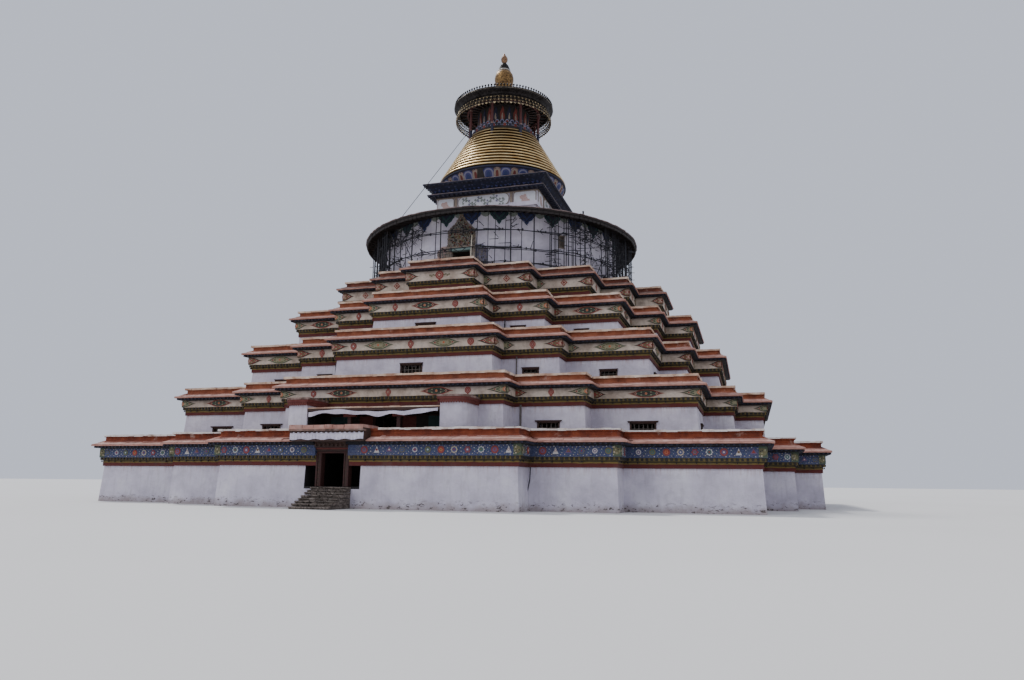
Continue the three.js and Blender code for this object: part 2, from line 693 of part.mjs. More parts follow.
// Thin taut stay from the south-west post down to the edge of the drum's roof
function spireStay() {
  const { postTurn, top, roofTurn, radius, low, thick } = STAY
  const at = (turn, out, z) => new THREE.Vector3(out * Math.sin(turn), -out * Math.cos(turn), z)
  const from = at(THREE.MathUtils.degToRad(roofTurn), radius, low)
  const to = at(THREE.MathUtils.degToRad(postTurn), POSTS.radius, top)
  const along = new THREE.Vector3().subVectors(to, from)
  const geometry = new THREE.CylinderGeometry(thick, thick, along.length(), 6)
  const upright = new THREE.Vector3(0, 1, 0)
  geometry.applyQuaternion(new THREE.Quaternion().setFromUnitVectors(upright, along.clone().normalize()))
  geometry.translate(...from.clone().addScaledVector(along, 0.5).toArray())
  const post = new THREE.BoxGeometry((POSTS.half + GAP) * 2, (POSTS.half + GAP) * 2, 4)
  post.translate(0, -POSTS.radius, top)
  post.rotateZ(THREE.MathUtils.degToRad(postTurn))
  const roof = drumRoof().translate([0, 0, GAP * MODEL_MM])
  return solid(geometry).subtract(solid(post)).subtract(roof)
}

// Vase, collar and bud on a low foot
function finial() {
  const foot = PARASOL.crown + GAP
  const vase = VASE.map(([radius, z]) => [radius, foot + z])
  return turned([[0, foot], ...vase, [0, foot + TIP]], 16)
}

function addSpire() {
  addNode('spire_base', spireBase(), navyPaint)
  addNode('spire_rings', giltRings(), gilt)
  addNode('spire_neck', spireNeck(), navyPaint)
  addNode('parasol', parasol(), navyPaint)
  addNode('parasol_posts', parasolPosts(), darkTimber)
  addNode('parasol_net', parasolNet(), gilt)
  addNode('spire_stay', spireStay(), poleWood)
  addNode('finial', finial(), gilt)
}

addStoreys()
addEntrance()
addDrum()
addNode('scaffold', scaffold(), poleWood)
addBlock()
addSpire()

export default group
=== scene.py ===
"""Looks of the stepped stupa: finishes for the carried solids and the fine pieces that dress them.

Sizes and places are metres of the real building, as in the solids' own source. The model is made at
half size, so each new mesh is scaled by MODEL just before it becomes a piece. The entrance is on the
south side, at -y, and bearings run from the south eastwards.
"""
import itertools
import math
import random

import bmesh
import bpy
from mathutils import Matrix, Vector


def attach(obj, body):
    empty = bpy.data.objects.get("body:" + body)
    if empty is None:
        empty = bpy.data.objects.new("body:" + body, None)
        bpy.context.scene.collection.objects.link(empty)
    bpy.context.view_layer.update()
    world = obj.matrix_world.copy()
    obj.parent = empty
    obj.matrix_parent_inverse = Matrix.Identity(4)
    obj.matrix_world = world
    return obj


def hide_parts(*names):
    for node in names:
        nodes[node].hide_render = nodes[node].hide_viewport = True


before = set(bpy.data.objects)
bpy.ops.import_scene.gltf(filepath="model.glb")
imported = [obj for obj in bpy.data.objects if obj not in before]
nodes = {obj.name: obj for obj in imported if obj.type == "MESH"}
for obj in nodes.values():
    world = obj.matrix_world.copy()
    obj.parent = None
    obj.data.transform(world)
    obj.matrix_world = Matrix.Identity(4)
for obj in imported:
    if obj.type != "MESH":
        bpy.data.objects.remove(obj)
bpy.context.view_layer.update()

MODEL = 0.5
chance = random.Random(13)

# Storeys: half widths of the centre and middle bays, reach of the three planes, underside of the
# eave and height of the painted frieze
TIERS = [dict(zip(("half_a", "half_b", "front", "mid", "side", "eave", "frieze"), sizes)) for sizes in (
    (9.98, 14.94, 26.35, 24.38, 22.41, 3.72, 0.64),
    (8.0, 12.47, 22.83, 20.85, 18.88, 7.33, 0.53),
    (6.24, 10.18, 19.78, 17.76, 15.75, 10.92, 0.62),
    (4.69, 8.6, 17.66, 15.51, 13.36, 14.0, 0.6),
    (3.09, 6.63, 15.19, 12.98, 10.77, 16.9, 0.75),
)]

# Heights of a cornice's courses, insets of its faces from the eave's tips, terrace and parapet above
WALL_FOOT_IN, WALL_TOP_IN = 0.56, 0.68
BAND, FILLET, DENTIL, FASCIA = 0.22, 0.17, 0.18, 0.13
DENTIL_IN, FRIEZE_IN, FASCIA_IN = 0.48, 0.42, 0.14
EAVE_SHADOW = 0.05
EAVE_EDGE, TERRACE = 0.07, 0.28
PARAPET_IN, PARAPET_THICK, PARAPET_TOP, COPING, COPING_IN = 0.62, 0.45, 0.34, 0.13, 0.5

# Slates: rise of the eave for each metre inwards, the two courses by inset limits and lift, and the
# inset of the mud bed behind them
SLATE_SLOPE = (TERRACE - EAVE_EDGE) / (PARAPET_IN - 0.04)
SLATE_COURSES = ((0.0, 0.36, 0.0), (0.27, PARAPET_IN, 0.025))
MUD_IN = 0.4

# Windows on each front: index of the storey, distance from the axis, width, sill and head
WINDOWS = [
    (1, 9.6, 1.4, 4.42, 5.16), (1, 15.0, 1.6, 4.42, 5.2),
    (2, 0, 1.6, 8.45, 9.15), (2, 7.6, 1.15, 8.4, 8.9), (2, 12.4, 1.2, 8.45, 8.92),
    (3, 0, 1.5, 11.75, 12.3), (3, 6.05, 1.1, 11.75, 12.22), (3, 10.1, 1.05, 11.75, 12.22),
    (4, 4.25, 1.05, 14.95, 15.38), (4, 8.2, 0.8, 14.95, 15.38),
]

# Entrance and porch
ENTRY_X, PASSAGE_HALF, ENTRY_FLOOR, ENTRY_HEAD = -1.7, 1.75, 1.2, 3.4
PASSAGE_SHADE = ((ENTRY_X - PASSAGE_HALF, -26.2, ENTRY_FLOOR - 0.1),
                 (ENTRY_X + PASSAGE_HALF, -20.5, ENTRY_HEAD + 0.1))
STAIR_HALF, STAIR_RISERS, STAIR_RISE, STAIR_GOING, STAIR_TOP = 1.25, 8, 0.15, 0.3, -25.7
FRAME_OUTER, FRAME_FRONT = 1.05, -25.7
HOOD_HALF, HOOD_FRONT, HOOD_NECK, HOOD_HIGH, HOOD_INSET = 2.35, -26.72, 4.3, 4.62, 0.14
PORCH_INNER, PORCH_OUTER, PORCH_FRONT, PORCH_ROOF, PORCH_CORNER = 4.3, 5.8, -24.5, 5.62, 0.55
PORCH_FLOOR, PORCH_ROOF_THICK, PORCH_DOOR_HALF = 4.02, 0.16, 0.8
PORCH_SHADE = ((-PORCH_INNER, -24.35, 3.6), (PORCH_INNER, -18.0, PORCH_ROOF))

# Drum
DRUM_RADIUS, DRUM_THICK, DRUM_TOP = 10.42, 1.5, 22.62
DOOR_HALF, DOOR_HEAD = 0.76, 19.5
LOOKOUT_ANGLE, LOOKOUT_HALF, LOOKOUT_SILL, LOOKOUT_HEAD = 45, 0.25, 20.1, 21.02
RIM_RADIUS, RIM_LOW, RIM_HIGH, ROOF_FLAT, ROOF_TOP = 12.35, 22.08, 22.48, 10.0, 23.3
# Outline of the doorway's carved surround, half width and height: side panel, arch body, shoulder and tip
SURROUND = [(2.15, 19.6), (1.8, 20.0), (1.15, 20.1), (1.15, 21.15), (0.52, 21.75), (0.1, 22.45)]
SCAFFOLD_RADIUS, SCAFFOLD_TOP, LEDGERS = 10.95, 22.4, [18.38, 19.6, 21.08]
OUTER_ROW = (11.35, 11.85)
PENDANTS, FIRST_PENDANT = 30, 4.5

# Bearings of scaffold uprights in degrees: over the south front, and of the outer row from each side
SOUTH_POLES = [-41.9, -38.2, -32.1, -28, -24.3, -18.4, -11.2, -8.6, 7.4, 12.1, 14.8, 18.9, 21.5, 25.8, 30.9,
               38.3, 40.1, 45.9, 49.4, 55.5, 59.1, 66.8]
OUTER_POLES = [-53, -51, -50, -48, -46, -44, -42, -40, -38, -26, -24.5, -22, -19, -17, -15, -12, -9, -6,
               -4, -1, 1, 4, 7, 9, 12, 14, 17, 19, 22, 24, 26]

# Square block, spire and parasol
BLOCK_HALF, BLOCK_TOP = 4.65, 26.38
LOW_EAVE_HALF, LOW_EAVE_Z, HIGH_EAVE_HALF, HIGH_EAVE_Z, HIGH_EAVE_TOP = 5.33, 26.52, 5.65, 27.43, 27.62
BLOCK_BAND_LOW, BLOCK_BAND_HIGH = 26.66, 27.25
BASE_RADIUS, BASE_RIM, BASE_RIM_HIGH = 5.45, 5.92, 28.58
RING_COUNT, RING_LOW, RING_HIGH, RING_LOW_RADIUS, RING_HIGH_RADIUS = 13, 28.62, 33.36, 5.88, 3.15
RING_PITCH = (RING_HIGH - RING_LOW) / RING_COUNT
# Heights between which the rings get the painted shade of the parasol
PARASOL_SHADE_LOW, PARASOL_SHADE_HIGH = 30.6, 33.3
NECK_BULGE, NECK_BULGE_Z, NECK_RADIUS, NECK_RADIUS_Z = 2.95, 33.85, 2.4, 34.4
PARASOL_RADIUS, PARASOL_RIM, PARASOL_CEILING, PARASOL_HIGH, PARASOL_LIP = 4.72, 36.35, 36.0, 36.5, 4.3
PARASOL_CROWN, NET = 37.2, [(4.22, 36.0), (4.42, 35.6), (4.5, 35.1)]
POST_COUNT, POST_RADIUS, POST_LOW, POST_BLUE = 8, 3.4, 32.6, 33.7

# Camera: sensor in millimetres, photograph's width and focal length in pixels, place, yaw, pitch and roll
SENSOR, PHOTO_WIDTH, FOCAL_PIXELS = 36, 1024, 773.07
CAMERA_PLACE, CAMERA_ANGLES = (21.067, -65.49, 1.529), (-16.975, 10.461, 0.621)


def floor_of(index):
    """Level on which a storey's wall stands."""
    return 0.0 if index == 0 else TIERS[index - 1]["eave"] + TERRACE


def wall_top(tier):
    return tier["eave"] - FASCIA - tier["frieze"] - DENTIL - FILLET - BAND


# Finishes

def tone(code):
    """Linear colour of a six-digit display colour."""
    parts = [int(code[i:i + 2], 16) / 255 for i in (0, 2, 4)]
    return (*[p / 12.92 if p <= 0.04045 else ((p + 0.055) / 1.055) ** 2.4 for p in parts], 1.0)


class Finish:
    """A procedural material, grown node by node on Object coordinates in real metres."""

    def __init__(self, name, roughness=0.9, metallic=0.0):
        self.material = bpy.data.materials.new(name)
        self.material.use_nodes = True
        self.tree = self.material.node_tree
        self.shader = self.tree.nodes["Principled BSDF"]
        self.shader.inputs["Roughness"].default_value = roughness
        self.shader.inputs["Metallic"].default_value = metallic
        spot = self.tree.nodes.new("ShaderNodeTexCoord").outputs["Object"]
        self.place = self.stretch((1 / MODEL,) * 3, spot)
        self.axes = self.grow("ShaderNodeSeparateXYZ", {}, [self.place]).outputs

    def grow(self, kind, settings, values):
        """Adds a node, sets its properties and feeds its inputs in order. None leaves an input alone."""
        made = self.tree.nodes.new(kind)
        for key, value in settings.items():
            setattr(made, key, value)
        for socket, value in zip(made.inputs, values):
            self.feed(socket, value)
        return made

    def feed(self, socket, value):
        if isinstance(value, bpy.types.NodeSocket):
            self.tree.links.new(value, socket)
        elif value is not None:
            socket.default_value = value

    def stretch(self, scale, place=None):
        made = self.tree.nodes.new("ShaderNodeMapping")
        self.feed(made.inputs["Vector"], place or self.place)
        made.inputs["Scale"].default_value = scale
        return made.outputs[0]

    def noise(self, scale, detail=5.0, roughness=0.6, stretch=None, warp=0.0):
        made = self.tree.nodes.new("ShaderNodeTexNoise")
        self.feed(made.inputs["Vector"], self.stretch(stretch) if stretch else self.place)
        sizes = {"Scale": scale, "Detail": detail, "Roughness": roughness, "Distortion": warp}
        for key, value in sizes.items():
            made.inputs[key].default_value = value
        return made.outputs[0]

    def cells(self, scale, feature="F1", stretch=None, output="Distance"):
        made = self.tree.nodes.new("ShaderNodeTexVoronoi")
        made.feature = feature
        self.feed(made.inputs["Vector"], self.stretch(stretch) if stretch else self.place)
        made.inputs["Scale"].default_value = scale
        return made.outputs[output]

    def ramp(self, amount, stops, hard=False):
        made = self.grow("ShaderNodeValToRGB", {}, [amount])
        band = made.color_ramp
        band.interpolation = "CONSTANT" if hard else "LINEAR"
        while len(band.elements) < len(stops):
            band.elements.new(0.5)
        for element, (spot, color) in zip(band.elements, stops):
            element.position = spot
            element.color = color if isinstance(color, tuple) else tone(color)
        return made.outputs[0]

    def mix(self, amount, first, second, way="MIX"):
        made = self.tree.nodes.new("ShaderNodeMix")
        made.data_type = "RGBA"
        made.blend_type = way
        self.feed(made.inputs[0], amount)
        self.feed(made.inputs[6], tone(first) if isinstance(first, str) else first)
        self.feed(made.inputs[7], tone(second) if isinstance(second, str) else second)
        return made.outputs[2]

    def sum(self, way, first, second=0.0):
        return self.grow("ShaderNodeMath", {"operation": way}, [first, second]).outputs[0]

    def span(self, value, low, high, to_low=0.0, to_high=1.0):
        return self.grow("ShaderNodeMapRange", {}, [value, low, high, to_low, to_high]).outputs[0]

    def coat(self, color, bump=None, depth=0.01, roughness=None):
        """Joins the colour, the relief in real metres and the roughness to the shader."""
        self.feed(self.shader.inputs["Base Color"], tone(color) if isinstance(color, str) else color)
        if bump is not None:
            made = self.tree.nodes.new("ShaderNodeBump")
            made.inputs["Distance"].default_value = depth * MODEL
            self.feed(made.inputs["Height"], bump)
            self.feed(self.shader.inputs["Normal"], made.outputs[0])
        if roughness is not None:
            self.feed(self.shader.inputs["Roughness"], roughness)
        return self.material


def limewash(name, foot, top, shadow=None):
    """Many coats of lime on rubble: cloudy lilac-white, dripped, dirty at its foot and pink under the band.
    A shadow box of low and high corners is painted near-black, as shade for the dark inside of the entrance
    passage and the porch."""
    wash = Finish(name, 0.92)
    height = wash.axes[2]
    cloud = wash.ramp(wash.noise(0.55, 6), [(0.3, "ada7b4"), (0.5, "c3bdca"), (0.72, "d2ced6")])
    patches = wash.mix(wash.span(wash.noise(1.7, 6, 0.7), 0.5, 0.72, 0, 0.4), cloud, "a09aa6")
    drips = wash.noise(5.0, 4, stretch=(1, 1, 0.12))
    streaked = wash.mix(wash.span(drips, 0.52, 0.75, 0, 0.5), patches, "a9a3ab")
    splash = wash.sum("ADD", height, wash.span(wash.noise(1.6, 5), 0.3, 0.7, -0.22, 0.22))
    dirty = wash.mix(wash.span(splash, foot + 0.45, foot + 0.05, 0, 0.7), streaked, "8a7c76")
    chips = wash.span(wash.noise(3.4, 6, 0.7, stretch=(1, 1, 2.2)), 0.57, 0.6)
    near_foot = wash.span(height, foot + 0.62, foot + 0.3)
    worn = wash.mix(wash.sum("MULTIPLY", chips, near_foot), dirty, "514945")
    runs = wash.span(wash.noise(9.0, 3, stretch=(1, 1, 0.1)), 0.48, 0.68)
    under = wash.sum("MULTIPLY", runs, wash.span(height, top - 0.5, top, 0, 0.5))
    lumps = wash.sum("ADD", wash.noise(1.4, 4), wash.sum("MULTIPLY", wash.noise(14.0, 5), 0.16))
    color = wash.mix(under, worn, "a07d78")
    # Painted shade: inside the shadow box the colour turns near-black, for the dark passage and porch
    if shadow:
        inside = 1.0
        for axis, low, high in zip(wash.axes, *shadow):
            inside = wash.sum("MULTIPLY", wash.span(axis, low - 0.03, low - 0.01), inside)
            inside = wash.sum("MULTIPLY", wash.span(axis, high + 0.03, high + 0.01), inside)
        color = wash.mix(inside, color, "1e1a1c")
    return wash.coat(color, lumps, 0.09)


def cornice_paint(index):
    """Painted bands of a cornice, from the maroon band up to the dark eave board, with a painted shadow line
    and painted shade under the eave on the top of the frieze.
    """
    tier = TIERS[index]
    low = wall_top(tier)
    paint = Finish(f"cornice_paint_{index + 1}", 0.85)
    wobble = paint.span(paint.noise(2.5, 3), 0.3, 0.7, -0.015, 0.015)
    height = paint.sum("ADD", paint.axes[2], wobble)
    level = paint.span(height, low, tier["eave"])
    rise = tier["eave"] - low
    # The last mark starts the near-black band: the eave board and, below it, a painted shadow line
    marks = [BAND / rise, (BAND + FILLET) / rise, (BAND + FILLET + DENTIL) / rise,
             1 - (FASCIA + EAVE_SHADOW) / rise]
    ground = "2b3359" if index == 0 else "ada094"
    bands = paint.ramp(level, [
        (0.0, "521a17"), (marks[0], "75612f"), (marks[0] + 0.45 * FILLET / rise, "453e29"),
        (marks[1], "6a5c33"), (marks[2], ground), (marks[3], "0f0e18"),
    ], hard=True)
    in_frieze = paint.sum("MULTIPLY", paint.span(level, marks[2], marks[2] + 0.002),
                          paint.span(level, marks[3], marks[3] - 0.002))
    if index == 0:
        scroll = paint.noise(7.5, 2, 0.4, warp=3.0)
        lines = paint.ramp(scroll, [(0.42, "232b4e"), (0.46, "666a89"), (0.49, "262f55"), (0.55, "3c4a6c"),
                                    (0.58, "7d7c8c"), (0.61, "20274a")])
        bands = paint.mix(paint.sum("MULTIPLY", in_frieze, 0.8), bands, lines)
    else:
        stain = paint.ramp(paint.noise(1.1, 5), [(0.35, "9a8a7b"), (0.55, "beafa0"), (0.75, "cec2b5")])
        bands = paint.mix(paint.sum("MULTIPLY", in_frieze, 0.9), bands, stain)
        # Painted shade under the eave: the top of the frieze darkens upwards towards the eave board
        eave_shade = paint.sum("MULTIPLY", in_frieze, paint.span(level, marks[3] - 0.14, marks[3], 0, 0.6))
        bands = paint.mix(eave_shade, bands, "4a4145")
    grime = paint.span(paint.noise(3.2, 6, 0.65), 0.48, 0.78, 0, 0.5)
    worn = paint.mix(grime, bands, "3a322f")
    faded = paint.mix(paint.span(paint.noise(0.8, 3), 0.55, 0.8, 0, 0.14), worn, "978b82")
    return paint.coat(faded, paint.noise(12.0, 5), 0.02)


def slate(name, light="b5887b", dark="8b6054"):
    """Pink slates: mottled, with a layered grain, dusty on top."""
    stone = Finish(name, 0.82)
    patch = stone.cells(1.5, output="Color")
    grey = stone.grow("ShaderNodeRGBToBW", {}, [patch]).outputs[0]
    base = stone.mix(grey, light, dark)
    dust = stone.mix(stone.span(stone.noise(2.2, 6), 0.45, 0.75, 0, 0.55), base, "c0a79f")
    stained = stone.mix(stone.span(stone.noise(0.7, 4), 0.58, 0.75, 0, 0.4), dust, "6d5750")
    layers = stone.noise(9.0, 6, 0.7, stretch=(1, 1, 4))
    return stone.coat(stained, layers, 0.03)


def terrace_finish(index):
    """Trodden clay on the terrace, pink slate along its sloping edge."""
    clay = Finish(f"terrace_clay_{index + 1}", 0.95)
    eave = TIERS[index]["eave"]
    ground = clay.ramp(clay.noise(0.9, 7, 0.65), [(0.35, "8d7f72"), (0.55, "a89a8a"), (0.75, "b8ab9c")])
    edge = clay.ramp(clay.noise(2.0, 6), [(0.35, "936a5f"), (0.65, "b98c7e")])
    on_top = clay.span(clay.axes[2], eave + TERRACE - 0.03, eave + TERRACE - 0.01)
    return clay.coat(clay.mix(on_top, edge, ground), clay.noise(6.0, 7, 0.7), 0.03)


def parapet_clay(name, deep, middle, light):
    """Red-brown clay daubed over rubble, with pale patches where it has washed off."""
    clay = Finish(name, 0.95)
    daub = clay.ramp(clay.noise(1.3, 6, 0.65), [(0.3, deep), (0.5, middle), (0.7, light)])
    rain = clay.span(clay.noise(6.0, 4, stretch=(1, 1, 0.2)), 0.55, 0.75, 0, 0.5)
    washed = clay.mix(rain, daub, deep)
    worn = clay.mix(clay.span(clay.noise(0.9, 6, 0.7), 0.6, 0.7, 0, 0.75), washed, "a98d80")
    finger = clay.sum("ADD", clay.noise(4.0, 5), clay.sum("MULTIPLY", clay.noise(22.0, 4), 0.3))
    return clay.coat(worn, finger, 0.06)


def coping_lime(name, white):
    """Lime and clay over coping stones: white on the lowest storey, more tan above."""
    lime = Finish(name, 0.93)
    shade = lime.noise(1.0, 6, 0.65)
    if white:
        base = lime.ramp(shade, [(0.35, "a8907f"), (0.48, "cfc6bf"), (0.7, "e2dedb")])
    else:
        base = lime.ramp(shade, [(0.33, "9c7561"), (0.48, "bda08a"), (0.66, "dccbb9")])
    stained = lime.mix(lime.span(lime.noise(5.0, 5), 0.58, 0.75, 0, 0.5), base, "7b5b45")
    return lime.coat(stained, lime.noise(7.0, 6, 0.7), 0.05)


def timber(name, light="4a2d22", dark="1f1310"):
    """Old dark timber with grain, dust and worn edges."""
    wood = Finish(name, 0.75)
    grain = wood.noise(6.0, 6, 0.7, stretch=(0.4, 3, 3))
    base = wood.mix(wood.span(grain, 0.35, 0.7), dark, light)
    dust = wood.mix(wood.span(wood.noise(2.0, 5), 0.6, 0.8, 0, 0.35), base, "6b5a4e")
    return wood.coat(dust, grain, 0.012)


def plain_paint(name, color, fade="8d8478", roughness=0.8, mottle=0.35):
    """Hand paint in one colour: brushed, faded and dusty."""
    paint = Finish(name, roughness)
    brushed = paint.mix(paint.span(paint.noise(4.0, 5), 0.35, 0.75, 0, mottle), color, fade)
    dark = paint.mix(paint.span(paint.noise(11.0, 4), 0.55, 0.75, 0, 0.35), brushed, "2a2320")
    return paint.coat(dark, paint.noise(16.0, 5), 0.008)


def rubble(name, tones=((0.3, "5d5048"), (0.5, "82766c"), (0.72, "9d9287"))):
    """Rough grey-brown stone with pale dust in its hollows."""
    stone = Finish(name, 0.93)
    base = stone.ramp(stone.noise(2.4, 7, 0.7), tones)
    joints = stone.cells(2.2, "DISTANCE_TO_EDGE", stretch=(1, 1, 2.2))
    dark = stone.mix(stone.span(joints, 0.0, 0.06, 0.75, 0.0), base, "40372f")
    grain = stone.sum("MULTIPLY", stone.noise(9.0, 7, 0.7), 0.6)
    return stone.coat(dark, stone.sum("ADD", stone.span(joints, 0, 0.09), grain), 0.05)


def gilding(name, bright="d9a441", worn="8a6527", spots="3d2c17", patina=0.2, roughness=0.3):
    """Gilded copper: bright, with brown tarnish in patches."""
    metal = Finish(name, roughness, 1.0)
    patch = metal.noise(1.5, 6, 0.65)
    base = metal.mix(metal.span(patch, 0.4, 0.75), bright, worn)
    tarnish = metal.mix(metal.span(metal.noise(7.0, 5), 0.7 - patina, 0.95 - patina, 0, 0.85), base, spots)
    dull = metal.span(patch, 0.35, 0.75, roughness, roughness + 0.25)
    return metal.coat(tarnish, metal.noise(20.0, 4), 0.006, dull)


def ring_gilding():
    """Gilding of the thirteen rings: painted shade in the grooves between the rings, and painted shade of the
    parasol over the top rings.
    """
    metal = Finish("gilt_copper", 0.3, 1.0)
    turns = metal.sum("DIVIDE", metal.sum("SUBTRACT", metal.axes[2], RING_LOW), RING_PITCH)
    along = metal.sum("FRACT", turns)
    patch = metal.noise(1.2, 6, 0.65)
    clean = metal.mix(metal.span(patch, 0.38, 0.72), "ecd29c", "b8935a")
    # Painted shade in the grooves: each ring is darker low and high, unchanged in its bright middle
    groove_shade = metal.ramp(along, [(0.0, "2b1d14"), (0.2, "5a4028"), (0.42, "ffffff"), (0.74, "ffffff"),
                              (0.9, "4a3424")])
    grooved = metal.mix(0.92, clean, groove_shade, "MULTIPLY")
    # Painted shade of the parasol: the rings darken towards the top
    soot = metal.span(metal.axes[2], PARASOL_SHADE_LOW, PARASOL_SHADE_HIGH, 0, 0.72)
    dark = metal.mix(soot, grooved, "3d2f22")
    tarnish = metal.mix(metal.span(metal.noise(7.0, 5), 0.58, 0.85, 0, 0.7), dark, "4a3820")
    dull = metal.span(patch, 0.35, 0.75, 0.3, 0.5)
    return metal.coat(tarnish, metal.noise(5.0, 4), 0.006, dull)


def weave(name, color, shade):
    """Plain cotton on the cloth's own UV, with creases and dust."""
    cloth = Finish(name, 0.95)
    uv = cloth.tree.nodes.new("ShaderNodeTexCoord").outputs["UV"]
    fine = cloth.stretch((90, 90, 1), uv)
    threads = cloth.grow("ShaderNodeTexWave", {"wave_type": "BANDS"}, [fine]).outputs[1]
    dusty = cloth.mix(cloth.span(cloth.noise(1.6, 6), 0.4, 0.75, 0, 0.7), color, shade)
    relief = cloth.sum("ADD", cloth.noise(5.0, 4), cloth.sum("MULTIPLY", threads, 0.12))
    return cloth.coat(dusty, relief, 0.02)


# Mesh tools

class Run:
    """One straight stretch of a storey's outline: u runs along it, out points away from the wall."""

    def __init__(self, start, end, opens=True, closes=True):
        self.start = Vector((*start, 0.0))
        span = Vector((*end, 0.0)) - self.start
        self.length = span.length
        self.along = span.normalized()
        self.out = Vector((self.along.y, -self.along.x, 0.0))
        self.opens = opens
        self.closes = closes

    def at(self, u, out, z):
        return self.start + self.along * u + self.out * out + Vector((0, 0, z))

    def facing(self, _):
        return self.out

    def clamp(self, u, inset):
        """Keeps u on this side of the mitre lines at an inset."""
        low = inset if self.opens else -inset
        high = self.length - inset if self.closes else self.length + inset
        return min(max(u, low), high)

    def ends(self, inset):
        """Both ends of the run between the mitre lines at an inset."""
        return self.clamp(-math.inf, inset), self.clamp(math.inf, inset)


def round_spot(radius, angle, z):
    """Point at a bearing in radians from the south, eastwards."""
    return Vector((radius * math.sin(angle), -radius * math.cos(angle), z))


class Round:
    """A round wall, with the same calls as a straight run. u is measured from the south, eastwards.
    A lean takes it outwards as it rises from its foot."""

    def __init__(self, radius, foot=0.0, lean=0.0):
        self.radius = radius
        self.length = 2 * math.pi * radius
        self.foot = foot
        self.lean = lean

    def at(self, u, out, z):
        return round_spot(self.radius + (z - self.foot) * self.lean + out, u / self.radius, z)

    def facing(self, u):
        return round_spot(1.0, u / self.radius, 0.0)


def corners_of(tier, inset=0.0):
    half_a, half_b = tier["half_a"], tier["half_b"]
    front, mid, side = tier["front"], tier["mid"], tier["side"]
    quarter = [
        (-half_a, -front), (half_a, -front), (half_a, -mid), (half_b, -mid), (half_b, -side),
        (side, -side), (side, -half_b), (mid, -half_b), (mid, -half_a),
    ]
    found = []
    for turn in range(4):
        for x, y in quarter:
            for _ in range(turn):
                x, y = -y, x
            found.append((x - math.copysign(inset, x), y - math.copysign(inset, y)))
    return found


def runs_of(tier, inset=0.0):
    """The 36 straight stretches of a storey's outline at an inset from its eave tips."""
    corners = corners_of(tier, inset)
    count = len(corners)
    bends = []
    for i in range(count):
        before, here, after = (Vector(corners[(i + step) % count]) for step in (-1, 0, 1))
        bends.append((here - before).cross(after - here) > 0)
    return [Run(corners[i], corners[(i + 1) % count], bends[i], bends[(i + 1) % count]) for i in range(count)]


def tag(verts, slot):
    if slot:
        for vert in verts:
            for face in vert.link_faces:
                face.material_index = slot


def tag_new(bm, before, slot):
    """Gives a slot to every face that was not there before."""
    for face in bm.faces:
        if face not in before:
            face.material_index = slot


def spin(bm, line, steps):
    """Spins vertices and edges one full turn about the vertical axis."""
    bmesh.ops.spin(bm, geom=line, cent=(0, 0, 0), axis=(0, 0, 1), dvec=(0, 0, 0), angle=2 * math.pi,
                   steps=steps, use_merge=True, use_duplicate=False)


def prism(bm, points, lift, slot=0):
    """Closed solid from a flat outline and the vector that it is drawn out along."""
    low = [bm.verts.new(point) for point in points]
    drawn = bmesh.ops.extrude_face_region(bm, geom=[bm.faces.new(low)])["geom"]
    high = [item for item in drawn if isinstance(item, bmesh.types.BMVert)]
    bmesh.ops.translate(bm, verts=high, vec=lift)
    tag(low + high, slot)
    return low, high


def brick(bm, wall, us, outs, zs, slot=0):
    """Box on a wall, from its limits along it, out of it and upwards."""
    u, out, z = ((low + high) / 2 for low, high in (us, outs, zs))
    facing = wall.facing(u)
    along = Vector((-facing.y, facing.x, 0.0))
    turn = Matrix((along, -facing, Vector((0, 0, 1)))).transposed().to_4x4()
    size = (us[1] - us[0], outs[1] - outs[0], zs[1] - zs[0])
    place = Matrix.Translation(wall.at(u, out, z)) @ turn @ Matrix.Diagonal((*size, 1))
    made = bmesh.ops.create_cube(bm, size=1, matrix=place)
    tag(made["verts"], slot)


def badge(bm, wall, u, z, outline, outs, slot=0):
    """Flat relief on a wall from an outline of offsets along it and upwards."""
    points = [wall.at(u + du, outs[0], z + dz) for du, dz in outline]
    prism(bm, points, wall.facing(u) * (outs[1] - outs[0]), slot)


def badges(bm, wall, u, z, layers):
    """Flat reliefs over each other, from an outline, its limits out of the wall and its slot for each."""
    for outline, outs, slot in layers:
        badge(bm, wall, u, z, outline, outs, slot)


def pole(bm, foot, tip, radius, sides=6, slot=0, tip_radius=None):
    along = tip - foot
    place = Matrix.Translation((foot + tip) / 2) @ along.to_track_quat("Z", "Y").to_matrix().to_4x4()
    made = bmesh.ops.create_cone(bm, cap_ends=True, segments=sides, radius1=radius,
                                 radius2=radius if tip_radius is None else tip_radius,
                                 depth=along.length, matrix=place)
    tag(made["verts"], slot)


def bead(bm, centre, radius, slot=0, squash=(1, 1, 1)):
    place = Matrix.Translation(centre) @ Matrix.Diagonal((*squash, 1))
    made = bmesh.ops.create_icosphere(bm, subdivisions=1, radius=radius, matrix=place)
    tag(made["verts"], slot)


def turned(bm, profile, steps=96, slot=0):
    """Solid turned about the vertical axis from radius and height pairs that start and end on the axis."""
    before = set(bm.faces)
    line = [bm.verts.new((0, -radius, z)) for radius, z in profile]
    spin(bm, line + [bm.edges.new(pair) for pair in zip(line, line[1:])], steps)
    verts = list({vert for face in set(bm.faces) - before for vert in face.verts})
    bmesh.ops.remove_doubles(bm, verts=verts, dist=1e-4)
    tag_new(bm, before, slot)


